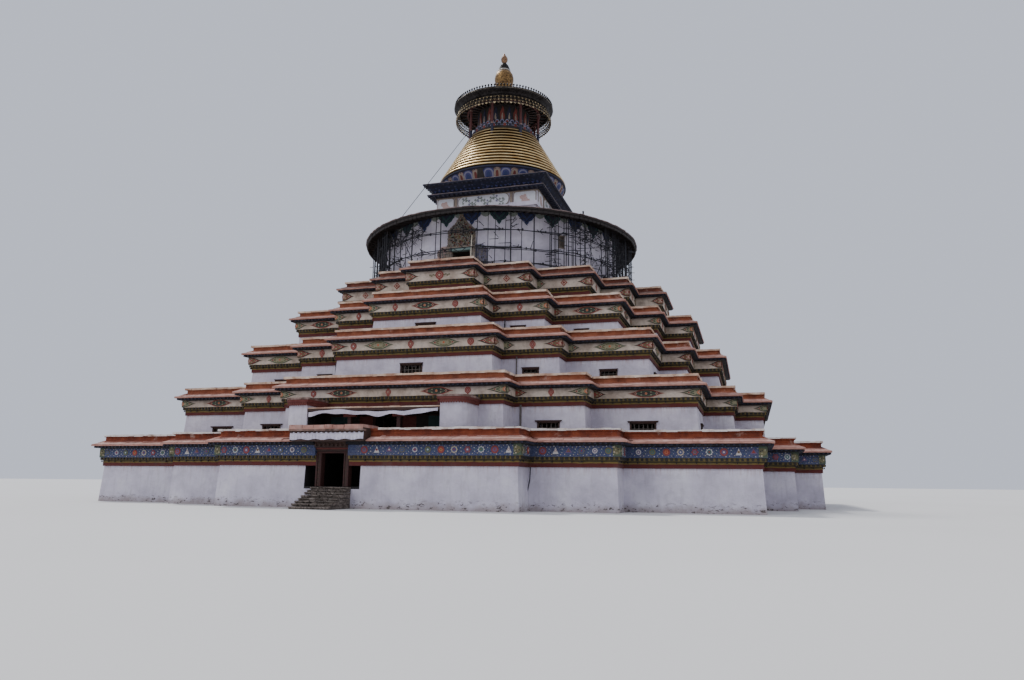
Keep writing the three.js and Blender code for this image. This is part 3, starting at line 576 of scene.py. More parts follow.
def hoop(bm, radius, z, thick, sides=8, steps=96, slot=0):
    """Ring of round bar about the vertical axis."""
    before = set(bm.faces)
    place = Matrix.Translation((0, -radius, z)) @ Matrix.Rotation(math.pi / 2, 4, "Y")
    circle = bmesh.ops.create_circle(bm, cap_ends=False, segments=sides, radius=thick, matrix=place)["verts"]
    spin(bm, circle + list({edge for vert in circle for edge in vert.link_edges}), steps)
    tag_new(bm, before, slot)


def place_in_scene(name, data):
    """New object at the origin of the scene."""
    made = bpy.data.objects.new(name, data)
    bpy.context.scene.collection.objects.link(made)
    return made


def piece(name, bm, finishes, smooth=None, stands_for=()):
    """Turns a mesh in real metres into a finished piece of the model that rides on the root."""
    bmesh.ops.recalc_face_normals(bm, faces=bm.faces)
    bmesh.ops.scale(bm, vec=(MODEL,) * 3, verts=bm.verts)
    mesh = bpy.data.meshes.new(name)
    bm.to_mesh(mesh)
    bm.free()
    for finish in finishes:
        mesh.materials.append(finish)
    if smooth is not None:
        for face in mesh.polygons:
            face.use_smooth = True
        mesh.set_sharp_from_angle(angle=math.radians(smooth))
    made = place_in_scene(name, mesh)
    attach(made, "root")
    if stands_for:
        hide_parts(*stands_for)
    return made


def gather(parts):
    """One mesh from several, each of which was built by itself because operators are slow in a large mesh."""
    whole = bmesh.new()
    for part in parts:
        mesh = bpy.data.meshes.new("part")
        part.to_mesh(mesh)
        part.free()
        whole.from_mesh(mesh)
        bpy.data.meshes.remove(mesh)
    return whole


def dress(node, finish):
    """Gives a carried solid its finish."""
    nodes[node].data.materials.clear()
    nodes[node].data.materials.append(finish)


def around(middle, half):
    """Limits at an equal distance on either side of a middle."""
    return middle - half, middle + half


def scaled(outline, wide, tall=None):
    """Outline at another size."""
    return [(x * wide, z * (wide if tall is None else tall)) for x, z in outline]


def regular(count, radius, between=None, start=0.0):
    """Outline of a regular figure, or of a star or flower with its own radius between the tips."""
    steps = count if between is None else count * 2
    found = []
    for i in range(steps):
        reach = radius if between is None or i % 2 == 0 else between
        angle = start + 2 * math.pi * i / steps
        found.append((reach * math.cos(angle), reach * math.sin(angle)))
    return found


def arch(half, height, shoulder, steps=5):
    """Outline of a petal or niche: straight sides to the shoulder, then in to a pointed top."""
    right = [(half, 0.0), (half, shoulder)]
    for i in range(1, steps):
        turn = i / steps * math.pi / 2
        right.append((half * math.cos(turn) ** 0.9, shoulder + (height - shoulder) * math.sin(turn)))
    left = [(-x, z) for x, z in reversed(right)]
    return right + [(0.0, height)] + left


# Shared finishes
pink_slate = slate("pink_slate")
brown_slate = slate("brown_slate", "7d6156", "4c3831")
clay = parapet_clay("ochre_clay", "5c2d1f", "84482f", "9a5c40")
dark_clay = parapet_clay("dark_clay", "4b2015", "74331d", "8c462a")
high_clay = parapet_clay("high_clay", "43211a", "663628", "7f4a39")
PARAPET_CLAYS = (dark_clay, clay, clay, clay, high_clay)
dark_plaster = plain_paint("dark_plaster", "3b3531", "554c46")
edge_iron = gilding("edge_iron", "7f776c", "57504a", "37322e", 0.3, 0.5)
net_gilt = gilding("net_gilt", "a4947a", "5f5244", "2c2521", 0.34, 0.45)
bud_gilt = gilding("bud_gilt", "a8866a", "6a5040", "3a2c25", 0.3, 0.45)
dark_timber = timber("dark_timber")
red_timber = timber("red_timber", "451b15", "200d0b")
grey_timber = timber("grey_timber", "6e655f", "443c38")
pole_bark = timber("pole_bark", "282830", "111219")
soffit_timber = timber("soffit_timber", "211412", "0e0806")
rim_slate = slate("rim_slate", "7c6d6d", "574a4a")
roof_clay = rubble("roof_clay")
stone = rubble("rough_stone")
step_stone = rubble("step_stone", [(0.3, "453d38"), (0.5, "6b6058"), (0.72, "948980")])
stucco = Finish("carved_stucco", 0.9)
stucco = stucco.coat(
    stucco.mix(stucco.span(stucco.noise(3.0, 6, 0.7), 0.35, 0.7),
               stucco.ramp(stucco.noise(6.0, 5), [(0.4, "4a423d"), (0.65, "7a6f66")]), "958a80"),
    stucco.noise(10.0, 7, 0.7), 0.06)
gilt = ring_gilding()
old_gilt = gilding("aged_gilt", "a48355", "644b32", "2a2019", 0.3, 0.42)
pale_gilt = gilding("pale_gilt", "c9b590", "77684f", "3b332b", 0.32, 0.42)
iron = gilding("black_iron", "3b3838", "242120", "141212", 0.3, 0.5)
silver = gilding("tinned_copper", "b9b4ac", "77716a", "3b3632", 0.25, 0.35)
pale_cloth = weave("pale_cloth", "d2cddb", "958fa3")
drum_lime = limewash("limewash_drum", floor_of(5), DRUM_TOP)

# Hand paints: the fresh tone of each and the one that it fades to
painted = {name: plain_paint(f"{name}_paint", *tones) for name, *tones in (
    ("black", "1d1815", "3a332d"), ("pipe", "57504d", "6d6866"), ("cream", "c9bfae", "a89d8f"),
    ("navy", "23264a", "3a3b55"), ("deep_navy", "191a30", "2e2c3c"), ("deep_blue", "202a55", "3c4260"),
    ("violet_blue", "2f3160", "4b4b6a"), ("deep_teal", "1d3a3b", "405453"),
    ("pale_teal", "748c89", "939e98"), ("olive", "6d6547", "7f7960"), ("grey_green", "6f766f", "8d8f8c"),
    ("maroon", "57201b", "7a4a40"), ("dark_red", "4f2422", "463433"), ("dim_red", "6b2a22", "5a3f38"),
    ("rose", "a68a84", "b9aaa5"), ("dim_stucco", "7b6c60", "94887c"), ("lilac_grey", "6f6d82", "66636d"),
    ("pale_grey", "c4c4ca", "a5a2a6"),
)}
FRIEZE_PAINTS = [plain_paint(f"frieze_{name}", *tones) for name, *tones in (
    ("cream", "aa9d88", "8f867c"), ("red", "7f3029", "8a6257"), ("orange", "b0603b", "94715c"),
    ("green", "3c4a3a", "666b5c"), ("dark", "2a2a26", "4c4944"), ("blue", "34406f", "5c6280"),
    ("violet", "5d476b", "776a80"), ("white", "b4afac", "918c8b"), ("olive", "5e5a3c", "75705b"),
    ("teal", "33585a", "62777a"), ("sage", "8a8569", "7a7767"), ("rose", "96675e", "8f7d75"),
)]
CREAM, RED, ORANGE, GREEN, BLACK, BLUE, VIOLET, WHITE, OLIVE, TEAL, SAGE, ROSE = range(len(FRIEZE_PAINTS))


def pick(*names):
    """Hand paints by name."""
    return [painted[name] for name in names]


# Storeys

def near_entry(index, run, u_low, u_high, half):
    """True where a stretch on the first storey's south front would stand in the entrance."""
    if index or abs(run.along.x) < 0.5 or run.start.y > -TIERS[0]["front"] + 1.2:
        return False
    x_low, x_high = run.start.x + u_low, run.start.x + u_high
    return x_high > ENTRY_X - half and x_low < ENTRY_X + half


def strip(low, high, least, most):
    """Random lengths that fill a stretch from low to high."""
    spots = [low]
    while spots[-1] < high - least:
        spots.append(min(spots[-1] + chance.uniform(least, most), high))
    spots[-1] = high
    return list(zip(spots, spots[1:]))


def stretches(index, run, inset, least, most):
    """Random stretches of a storey's run at an inset, apart from those where the entrance hood stands."""
    for us in strip(*run.ends(inset), least, most):
        if not near_entry(index, run, *us, HOOD_HALF):
            yield us


def spaced(length, pitch):
    """Number of equal bays of about a pitch that fill a length, and their exact pitch."""
    count = max(round(length / pitch), 1)
    return count, length / count


def tile(bm, run, us, insets, heights, thick, slot=0):
    """Slab between two insets, cut along the mitres, whose top rises from heights[0] to heights[1]."""
    points = []
    for u, inset, z in ((us[0], insets[0], heights[0]), (us[1], insets[0], heights[0]),
                        (us[1], insets[1], heights[1]), (us[0], insets[1], heights[1])):
        points.append(run.at(run.clamp(u, inset), -inset, z))
    if (points[0] - points[1]).length < 0.05 and (points[2] - points[3]).length < 0.05:
        return
    low, high = prism(bm, points, Vector((0, 0, thick)), slot)
    bmesh.ops.remove_doubles(bm, verts=low + high, dist=1e-3)


def slates(index):
    """Two courses of pink slates on the sloping eave, and the mud bed that they run under."""
    slab, mud = range(2)

    def level(inset):
        return TIERS[index]["eave"] + EAVE_EDGE + SLATE_SLOPE * inset

    parts = []
    for run in runs_of(TIERS[index]):
        bm = bmesh.new()
        parts.append(bm)
        for low_in, high_in, lift in SLATE_COURSES:
            for us in stretches(index, run, low_in, 0.45, 0.95):
                edge = low_in + chance.uniform(0.0, 0.035)
                gap = chance.uniform(0.004, 0.014)
                heights = (level(edge) + lift, level(high_in) + lift + chance.uniform(0, 0.02) - 0.005)
                thick = chance.uniform(0.035, 0.055)
                tile(bm, run, (us[0] + gap, us[1] - gap), (edge, high_in), heights, thick, slab)
        for us in stretches(index, run, MUD_IN, 0.5, 1.3):
            edge = MUD_IN + chance.uniform(-0.04, 0.05)
            heights = (level(edge) + 0.05, level(PARAPET_IN) + 0.08)
            tile(bm, run, us, (edge, PARAPET_IN + 0.02), heights, 0.04, mud)
    finishes = [pink_slate if index < 4 else brown_slate, PARAPET_CLAYS[index]]
    return piece(f"storey_{index + 1}_slates", gather(parts), finishes)


def coping(index):
    """Uneven coping of stones bedded in lime on the parapet, rougher on the lowest storey."""
    foot = TIERS[index]["eave"] + TERRACE + PARAPET_TOP
    rough, bed = (0.03, 0.02) if index else (0.05, 0.075)
    parts = []
    for run in runs_of(TIERS[index]):
        bm = bmesh.new()
        parts.append(bm)
        for us in stretches(index, run, COPING_IN, 0.3, 0.9):
            outer = COPING_IN + chance.uniform(-0.04, 0.03)
            inner = PARAPET_IN + PARAPET_THICK + chance.uniform(0.02, 0.05)
            top = foot + COPING + chance.uniform(0.0, rough)
            low = foot + bed - chance.uniform(0.0, rough)
            tile(bm, run, us, (outer, inner), (low, low), top - low)
    finish = coping_lime(f"coping_lime_{index + 1}", index == 0)
    return piece(f"storey_{index + 1}_coping", gather(parts), [finish])


def dentils(index):
    """Dark blocks of the dentil course, ticks on the fillet under it, joist ends under the eave."""
    tier = TIERS[index]
    course = wall_top(tier) + BAND + FILLET
    under = tier["eave"] - FASCIA
    block, joist = range(2)
    parts = []
    for run in runs_of(tier, DENTIL_IN):
        bm = bmesh.new()
        parts.append(bm)
        count, pitch = spaced(run.length, 0.27)
        for i in range(count):
            us = (i * pitch + chance.uniform(0.04, 0.07), i * pitch + pitch - chance.uniform(0.05, 0.08))
            if near_entry(index, run, *us, FRAME_OUTER):
                continue
            top = course + DENTIL - chance.uniform(0.01, 0.03)
            brick(bm, run, us, (-0.02, 0.075), (course + 0.02, top), block)
            if i % 2 == 0 and chance.random() < 0.8:
                tick = around(sum(us) / 2, 0.035)
                brick(bm, run, tick, (-0.06, 0.012), (course - FILLET + 0.04, course - 0.03), block)
    for run in runs_of(tier, FASCIA_IN):
        bm = bmesh.new()
        parts.append(bm)
        count, pitch = spaced(run.length, 0.3)
        for i in range(count):
            us = (i * pitch + 0.1, i * pitch + 0.2)
            if not near_entry(index, run, *us, HOOD_HALF):
                brick(bm, run, us, (-0.02, 0.09), (under + 0.015, under + 0.105), joist)
    return piece(f"storey_{index + 1}_dentils", gather(parts), pick("black", "deep_navy"))


# A quarter of a lozenge's outline, and its colours by kind: rim, field and heart
LENS = [(1.0, 0.0), (0.8, 0.16), (0.6, 0.5), (0.36, 0.88), (0.16, 1.0)]
LOZENGES = ((RED, BLACK, GREEN), (GREEN, SAGE, OLIVE), (BLACK, SAGE, GREEN), (BLACK, RED, OLIVE))

# Emblems of the blue frieze at a radius of 1: outer figure and its colour, inner figure and its colour
JEWEL = [(0.8, -0.8), (0.3, 0.2), (0, 1), (-0.3, 0.2), (-0.8, -0.8)]
EMBLEMS = [
    (regular(8, 1, 0.8), CREAM, regular(8, 0.66, 0.5), BLUE),
    (regular(12, 1), RED, regular(8, 0.7, 0.5), VIOLET),
    (regular(8, 0.9, 0.62), OLIVE, regular(8, 0.55), BLUE),
    (regular(12, 0.95), RED, regular(6, 0.6, 0.35), ORANGE),
    (regular(8, 1, 0.7), WHITE, regular(8, 0.6), TEAL),
    (regular(3, 1, None, math.pi / 2), VIOLET, regular(3, 0.55, None, math.pi / 2), RED),
    (regular(12, 0.85), OLIVE, regular(8, 0.6, 0.42), TEAL),
    (regular(6, 1, 0.66), RED, regular(6, 0.6, 0.4), VIOLET),
    (JEWEL, WHITE, regular(6, 0.34), RED),
    (regular(12, 0.7), WHITE, regular(6, 0.5), VIOLET),
]


def lens(half, rise, side):
    """Outline of a lens with drawn-out points, or of its half towards one side."""
    right = [(x * half, z * rise) for x, z in LENS]
    if side == 0:
        upper = right + [(-x, z) for x, z in reversed(right)]
    else:
        upper = [(side * x, z) for x, z in right] + [(0.0, rise)]
    lower = [(x, -z) for x, z in reversed(upper) if z > 0]
    return upper + lower


def lozenge(bm, wall, u, z, half, tall, kind, side=0):
    """Pointed lozenge of painted layers. A side of -1 or 1 gives the half that points that way."""
    rim, field, heart = LOZENGES[kind]
    for wide, high, out, slot in ((1.06, 1.05, 0.015, CREAM), (1.0, 1.0, 0.02, rim),
                                  (0.84, 0.8, 0.03, field), (0.62, 0.74, 0.038, heart),
                                  (0.44, 0.5, 0.045, field)):
        badge(bm, wall, u, z, lens(half * wide, tall / 2 * high, side), (-0.01, out), slot)
    bud = tall * 0.15
    for way in ((-1, 1) if side == 0 else (side,)):
        badges(bm, wall, u + way * half * 0.56, z, [(regular(4, bud * 1.2), (0.03, 0.052), CREAM),
                                                    (regular(4, bud * 0.85), (0.03, 0.062), RED)])
        for up in (-1, 1):
            spot = (u + way * half * 0.26, z + up * tall * 0.18)
            badge(bm, wall, *spot, regular(5, bud * 0.7), (0.03, 0.056), SAGE)
    if side == 0:
        badges(bm, wall, u, z, [(regular(8, bud * 1.3, bud * 0.9), (0.03, 0.06), CREAM),
                                (regular(8, bud * 1.05, bud * 0.8), (0.04, 0.07), ORANGE)])
    elif half > 0.9:
        flower = [(0.02 * side, -tall * 0.34), (tall * 0.3 * side, -tall * 0.2), (tall * 0.42 * side, 0),
                  (tall * 0.3 * side, tall * 0.2), (0.02 * side, tall * 0.34)]
        badges(bm, wall, u, z, [(flower, (0.0, 0.055), ROSE if kind == 3 else ORANGE),
                                (scaled(flower, 0.6), (0.0, 0.063), CREAM),
                                (scaled(flower, 0.36), (0.0, 0.07), RED)])


def drop(radius, foot):
    """Outline of a round medallion with a pointed top, standing on a stem."""
    turns = [math.radians(degrees) for degrees in range(30, 331, 30)]
    ring = [(radius * math.sin(turn), radius * math.cos(turn)) for turn in turns]
    right = [point for point in ring if point[0] >= 0]
    left = [point for point in ring if point[0] < 0]
    stem = [(radius * 0.35, -radius * 1.15), (radius * 0.5, -foot)]
    stem += [(-x, z) for x, z in reversed(stem)]
    return [(0, radius * 1.4)] + right[:-1] + stem + left[1:]


def medallion(bm, wall, u, z, tall, kind):
    """Dark red medallion on a stem between two lozenges, pointed or round by turns."""
    radius = tall * 0.38
    outline = drop(radius, tall * 0.52) if kind % 2 == 0 else regular(12, radius * 1.1)
    stem = [(-tall * 0.1, -tall * 0.5), (tall * 0.1, -tall * 0.5), (0.0, 0.0)]
    badges(bm, wall, u, z, [
        (stem, (-0.01, 0.02), RED), (outline, (-0.01, 0.025), RED),
        (regular(10, radius * 0.76), (0.0, 0.036), ROSE), (regular(8, radius * 0.58), (0.0, 0.048), RED),
        (regular(6, radius * 0.34, radius * 0.2), (0.0, 0.058), (ROSE, WHITE, CREAM)[kind % 3]),
    ])


def emblem(bm, wall, u, z, radius, kind):
    """One of the flowers, jewels and vessels on the blue frieze, in a ring of pale dots."""
    outer, outer_slot, inner, inner_slot = EMBLEMS[kind % len(EMBLEMS)]
    badges(bm, wall, u, z, [
        (scaled(outer, radius), (-0.01, 0.02), outer_slot), (scaled(inner, radius), (0.0, 0.03), inner_slot),
        (regular(6, radius * 0.24), (0.0, 0.04), (WHITE, OLIVE, RED)[kind % 3]),
    ])
    for i in range(12):
        angle = math.pi * i / 6 + 0.3
        reach = radius * (1.32 if i % 2 else 1.6)
        spot = (u + reach * 1.15 * math.cos(angle), z + reach * 0.92 * math.sin(angle))
        dot = regular(4, chance.uniform(0.022, 0.036))
        badge(bm, wall, *spot, dot, (-0.01, 0.015), (WHITE, CREAM, TEAL)[i % 3])


def frieze_plan(index, number, length):
    """Figures along one stretch of a grey frieze: kind of lozenge or name of figure, place, half length."""
    wide_bay, corner_bay = number % 9 == 0, number % 9 in (4, 5)
    middle = length / 2
    kind = (0, 0, 1, 0, 0)[index]
    if index == 4:
        return [("ring" if wide_bay else "diamond", middle, 0)]
    if wide_bay and index < 3:
        out, drops = ((0, 0), (3.2, 5.2), (2.35, 4.2))[index]
        return ([("drop", middle + at, 0) for at in (-drops, 0, drops)]
                + [(kind, middle + at, 1.1) for at in (-out, out)])
    if wide_bay:
        return [(kind, middle, 1.05), ("drop", middle - 2.25, 0), ("drop", middle + 2.25, 0)]
    return [(kind, middle, 1.12)] if corner_bay else [("drop", middle, 0)]


def blue_frieze(bm, run, number, low, high, counter):
    """Emblems along one run of the lowest frieze, and a flowered green panel at each outer corner."""
    middle = (low + high) / 2
    count, pitch = spaced(run.length - 0.6, 0.76)
    for i in range(count):
        u = 0.3 + (i + 0.5) * pitch
        kind = next(counter) * 7 + number
        if not near_entry(0, run, *around(u, 0.3), FRAME_OUTER):
            emblem(bm, run, u, middle, (high - low) * 0.33, kind)
    for ends, at, inwards in ((run.opens, 0.0, 0.42), (run.closes, run.length, -0.42)):
        if not ends or near_entry(0, run, *around(at, 0.4), FRAME_OUTER):
            continue
        us = sorted((at, at + inwards))
        brick(bm, run, us, (-0.01, 0.012), (low + 0.02, high - 0.02), GREEN)
        badge(bm, run, sum(us) / 2, middle, regular(10, (high - low) * 0.324), (-0.01, 0.018), OLIVE)
        for i in range(9):
            spot = (chance.uniform(us[0] + 0.06, us[1] - 0.06), chance.uniform(low + 0.1, high - 0.1))
            figure = regular(5, chance.uniform(0.05, 0.08), 0.03, i)
            badge(bm, run, *spot, figure, (-0.01, 0.026 + 0.001 * i), (SAGE, CREAM, OLIVE, BLACK)[i % 4])


def grey_frieze(bm, run, index, number, middle, tall, counter):
    """Lozenges and medallions along one run of an upper frieze, with half lozenges at its ends."""
    short = run.length < 2.5
    kind = (0, 2, 3, 2, 3)[index]
    for ends, u, side in ((run.opens, 0.0, 1), (run.closes, run.length, -1)):
        if ends or not short:
            reach = (1.2 if ends else 0.75) * (1.0 if index < 3 else 0.85)
            half = min(reach, run.length * 0.45)
            lozenge(bm, run, u, middle, half, tall, kind if ends else 3 - kind % 2, side)
    for figure, u, half in [] if short else frieze_plan(index, number, run.length):
        turn = next(counter)
        if figure == "drop":
            medallion(bm, run, u, middle, tall, turn)
        elif figure == "ring":
            medallion(bm, run, u, middle, tall * 1.15, 5)
            for way, i in itertools.product((-1, 1), range(4)):
                spot = (u + way * (0.36 + i * 0.13), middle + 0.05 * math.sin(i * 2.2))
                badge(bm, run, *spot, regular(5, 0.075, 0.04, i), (-0.01, 0.03), OLIVE)
        elif figure == "diamond":
            badges(bm, run, u, middle, [(regular(4, tall * 0.4), (-0.01, 0.03), RED),
                                        (regular(4, tall * 0.26), (0.0, 0.04), CREAM),
                                        (regular(4, tall * 0.17), (0.0, 0.05), RED)])
        else:
            lozenge(bm, run, u, middle, half, tall, figure)


def frieze(index):
    """Painted reliefs of a storey's frieze: emblems on the first, lozenges and medallions above."""
    tier = TIERS[index]
    low = wall_top(tier) + BAND + FILLET + DENTIL
    high = low + tier["frieze"]
    counter = itertools.count(1)
    parts = []
    for number, run in enumerate(runs_of(tier, FRIEZE_IN)):
        bm = bmesh.new()
        parts.append(bm)
        if index == 0:
            blue_frieze(bm, run, number, low, high, counter)
        else:
            grey_frieze(bm, run, index, number, (low + high) / 2, tier["frieze"] * 0.9, counter)
    return piece(f"storey_{index + 1}_frieze", gather(parts), FRIEZE_PAINTS)


def window(bm, wall, u, face, width, sill, head, eared):
    """Timber window with a frame, lintel, sill board, bars and a screen. An eared one has a wide lintel."""
    dark, red, screen, bar = range(4)
    half, ears, middle = width / 2, 0.1 if eared else 0.0, (sill + head) / 2
    for side in (-1, 1):
        edge = u + side * half
        brick(bm, wall, sorted((edge, edge - side * 0.1)), (face - 0.3, face + 0.03), (sill, head), dark)
    for past, back, out, low, high, slot in (
            (0.0, 0.3, 0.03, sill, sill + 0.06, dark), (0.0, 0.3, 0.03, head - 0.07, head, dark),
            (ears, 0.1, 0.09, head, head + 0.06, red),
            (ears + 0.04, 0.1, 0.11, head + 0.06, head + 0.09, dark),
            (0.06, 0.1, 0.08, sill - 0.05, sill, dark)):
        brick(bm, wall, around(u, half + past), (face - back, face + out), (low, high), slot)
    bars = max(int(width / 0.26), 2)
    for i in range(1, bars):
        spot = u - half + i * width / bars
        brick(bm, wall, around(spot, 0.025), (face - 0.18, face - 0.12), (sill + 0.05, head - 0.06), bar)
    inside = around(u, half - 0.09)
    brick(bm, wall, inside, (face - 0.17, face - 0.11), around(middle, 0.02), bar)
    brick(bm, wall, inside, (face - 0.34, face - 0.3), (sill + 0.05, middle - 0.1), screen)


def windows(index):
    """All windows of a storey, on its four fronts."""
    tier = TIERS[index]
    bm = bmesh.new()
    low = floor_of(index)
    runs = runs_of(tier)
    for _, at, width, sill, head in [item for item in WINDOWS if item[0] == index]:
        share = ((sill + head) / 2 - low) / (wall_top(tier) - low)
        face = -(WALL_FOOT_IN + (WALL_TOP_IN - WALL_FOOT_IN) * share)
        for quarter in range(4):
            turn = Matrix.Rotation(quarter * math.pi / 2, 3, "Z")
            outwards = Vector((0, -1, 0))
            outwards.rotate(turn)
            for across in ([0] if at == 0 else [-at, at]):
                place = Vector((across, 0, 0))
                place.rotate(turn)
                for run in runs:
                    u = (place - run.start).dot(run.along)
                    if run.out.dot(outwards) > 0.9 and 0 < u < run.length:
                        window(bm, run, u, face, width, sill, head, index == 1)
    finishes = [dark_timber, red_timber, painted["black"], grey_timber]
    return piece(f"storey_{index + 1}_windows", bm, finishes)


def downpipes():
    """Thin pipes and a cable that run down the inner corners."""
    bm = bmesh.new()
    dark, grey = range(2)
    for index, side, slot in ((1, 1, grey), (1, -1, grey), (2, 1, grey), (3, 1, dark), (2, -1, dark)):
        tier = TIERS[index]
        from_corner, thick = (0.3, 0.065) if index == 1 else (0.85, 0.045)
        x = side * (tier["half_a"] - FRIEZE_IN + from_corner)
        y = -(tier["mid"] - WALL_FOOT_IN) - 0.05
        foot = Vector((x, y - 0.03, floor_of(index) + 0.02))
        pole(bm, foot, Vector((x, y, wall_top(tier) + 0.1)), thick, 8, slot)
    tier = TIERS[0]
    x, y = tier["half_a"] - WALL_TOP_IN - 0.15, -(tier["mid"] - WALL_FOOT_IN) - 0.03
    points = [Vector((x + dx, y + dy, z)) for dx, dy, z in (
        (0.35, 0.0, 2.38), (0.32, -0.02, 1.7), (0.2, -0.04, 1.1), (0.02, -0.06, 0.55), (-0.1, -0.08, 0.07))]
    for foot, tip in zip(points, points[1:]):
        pole(bm, foot, tip, 0.03, 6, dark)
    return piece("downpipes", bm, [pole_bark, painted["pipe"]])


def dress_storeys():
    dress("podium", limewash("limewash_1", 0.0, wall_top(TIERS[0]), PASSAGE_SHADE))
    dress("masonry_core", stone)
    for index, tier in enumerate(TIERS):
        storey = f"storey_{index + 1}"
        if index:
            shade = PORCH_SHADE if index == 1 else None
            wash = limewash(f"limewash_{index + 1}", floor_of(index), wall_top(tier), shade)
            for name in nodes:
                if name.startswith(f"{storey}_") and "_wall" in name:
                    dress(name, wash)
            windows(index)
        dress(f"{storey}_cornice", cornice_paint(index))
        dress(f"{storey}_terrace", terrace_finish(index))
        dress(f"{storey}_parapet", PARAPET_CLAYS[index])
        slates(index)
        coping(index)
        dentils(index)
        frieze(index)
    downpipes()


# Entrance and porch

def steps():
    """Rough stone steps, each laid in two courses of a few uneven blocks."""
    bm = bmesh.new()
    wall = Run((ENTRY_X - STAIR_HALF, STAIR_TOP), (ENTRY_X + STAIR_HALF, STAIR_TOP))
    for i in range(STAIR_RISERS):
        front = (STAIR_RISERS - i) * STAIR_GOING
        for low, high in strip(0.0, STAIR_HALF * 2, 0.35, 0.8):
            top = (i + 1) * STAIR_RISE - chance.uniform(0.0, 0.03)
            reach = front - chance.uniform(0.0, 0.05)
            bed = top - chance.uniform(0.06, 0.09)
            foot = max(top - STAIR_RISE, 0.0)
            brick(bm, wall, (low + 0.02, high - 0.02), (0.0, reach - 0.04), (foot, bed))
            brick(bm, wall, (low + 0.008, high - 0.008), (0.0, reach), (bed, top))
    bmesh.ops.bevel(bm, geom=list(bm.edges), offset=0.018, offset_type="OFFSET", segments=1, profile=0.5,
                    affect="EDGES", material=-1)
    return piece("entrance_stone_steps", bm, [step_stone], stands_for=["entrance_steps"])


def doorway():
    """Mouldings of the entrance's timber frame, its lintel courses and the joist ends under the hood."""
    bm = bmesh.new()
    dark, red, brown = range(3)
    middle = 3
    wall = Run((ENTRY_X - middle, FRAME_FRONT), (ENTRY_X + middle, FRAME_FRONT))
    for side in (-1, 1):
        for near, far, out, slot in ((0.72, 0.8, 0.05, red), (0.82, 0.93, 0.03, dark),
                                     (0.95, 1.05, 0.07, red)):
            us = sorted((middle + side * near, middle + side * far))
            brick(bm, wall, us, (-0.02, out), (ENTRY_FLOOR + 0.02, ENTRY_HEAD - 0.32), slot)
    for low, out, slot in ((3.08, 0.05, red), (3.2, 0.1, dark), (3.3, 0.16, brown)):
        brick(bm, wall, around(middle, 1.03), (-0.02, out), (low, low + 0.09), slot)
    for i in range(8):
        brick(bm, wall, around(2.05 + i * 0.27, 0.05), (0.28, 0.4), (3.45, 3.6), dark)
    edge, joists = HOOD_FRONT + HOOD_INSET, 16
    hood = Run((ENTRY_X - HOOD_HALF, edge), (ENTRY_X + HOOD_HALF, edge))
    for i in range(joists):
        spot = 0.12 + i * (HOOD_HALF * 2 - 0.24) / (joists - 1)
        brick(bm, hood, around(spot, 0.06), (-0.05, 0.1), (HOOD_NECK - 0.11, HOOD_NECK - 0.005), dark)
    finishes = [dark_timber, red_timber, painted["maroon"]]
    return piece("entrance_mouldings", bm, finishes)


def hood_slates():
    """Two courses of pink slates on the hood, with a brown edge under them."""
    bm = bmesh.new()
    slab, edge = range(2)
    wall = Run((ENTRY_X - HOOD_HALF, HOOD_FRONT), (ENTRY_X + HOOD_HALF, HOOD_FRONT))
    low_course, high_course = HOOD_NECK + 0.1, HOOD_NECK + 0.17
    for low, high in strip(0.0, HOOD_HALF * 2, 0.5, 0.9):
        reach = chance.uniform(0.01, 0.05)
        brick(bm, wall, (low + 0.006, high - 0.006), (-0.5, reach), (low_course, high_course), slab)
        top = HOOD_HIGH + chance.uniform(0.0, 0.03)
        brick(bm, wall, (low + 0.03, high), (-1.9, reach - 0.01), (high_course, top), slab)
    for us in strip(0.0, HOOD_HALF * 2, 0.4, 0.9):
        brick(bm, wall, us, (-0.4, chance.uniform(0.0, 0.02)), (HOOD_NECK, low_course), edge)
    return piece("entrance_hood_slates", bm, [pink_slate, brown_slate])


def hanging(start, end, out, top, drops, columns, rows, fold, waves):
    """Pleated sheet hung from a straight edge. drops gives its length at each share along the edge."""
    bm = bmesh.new()
    made = bmesh.ops.create_grid(bm, x_segments=columns, y_segments=rows, size=0.5)
    uv = bm.loops.layers.uv.new("cloth")
    for vert in made["verts"]:
        across, down = vert.co.x + 0.5, 0.5 - vert.co.y
        for loop in vert.link_loops:
            loop[uv].uv = (across * (end - start), down)
        wave = math.sin(across * waves * 2 * math.pi) + 0.4 * math.sin(across * waves * 4.6 * math.pi + 1.0)
        swing = fold * wave * (0.25 + 0.75 * down)
        vert.co = Vector((start + (end - start) * across, out - abs(swing) * 0.6, top - drops(across) * down))
        vert.co.y += 0.03 * swing
    bmesh.ops.solidify(bm, geom=list(bm.faces), thickness=0.012)
    return bm


def valance():
    """Pleated pale cloth along the hood's edge."""
    top, drop_by, fullness = 4.235, 0.4, 1.25

    def length(across):
        return drop_by + 0.03 * math.sin(across * 31)

    start, end = around(ENTRY_X, HOOD_HALF - 0.02)
    bm = hanging(start, end, HOOD_FRONT + HOOD_INSET - 0.012, top, length, 200, 6, 0.06, 34)
    made = piece("valance_cloth", bm, [pale_cloth], 60, ["entrance_valance"])


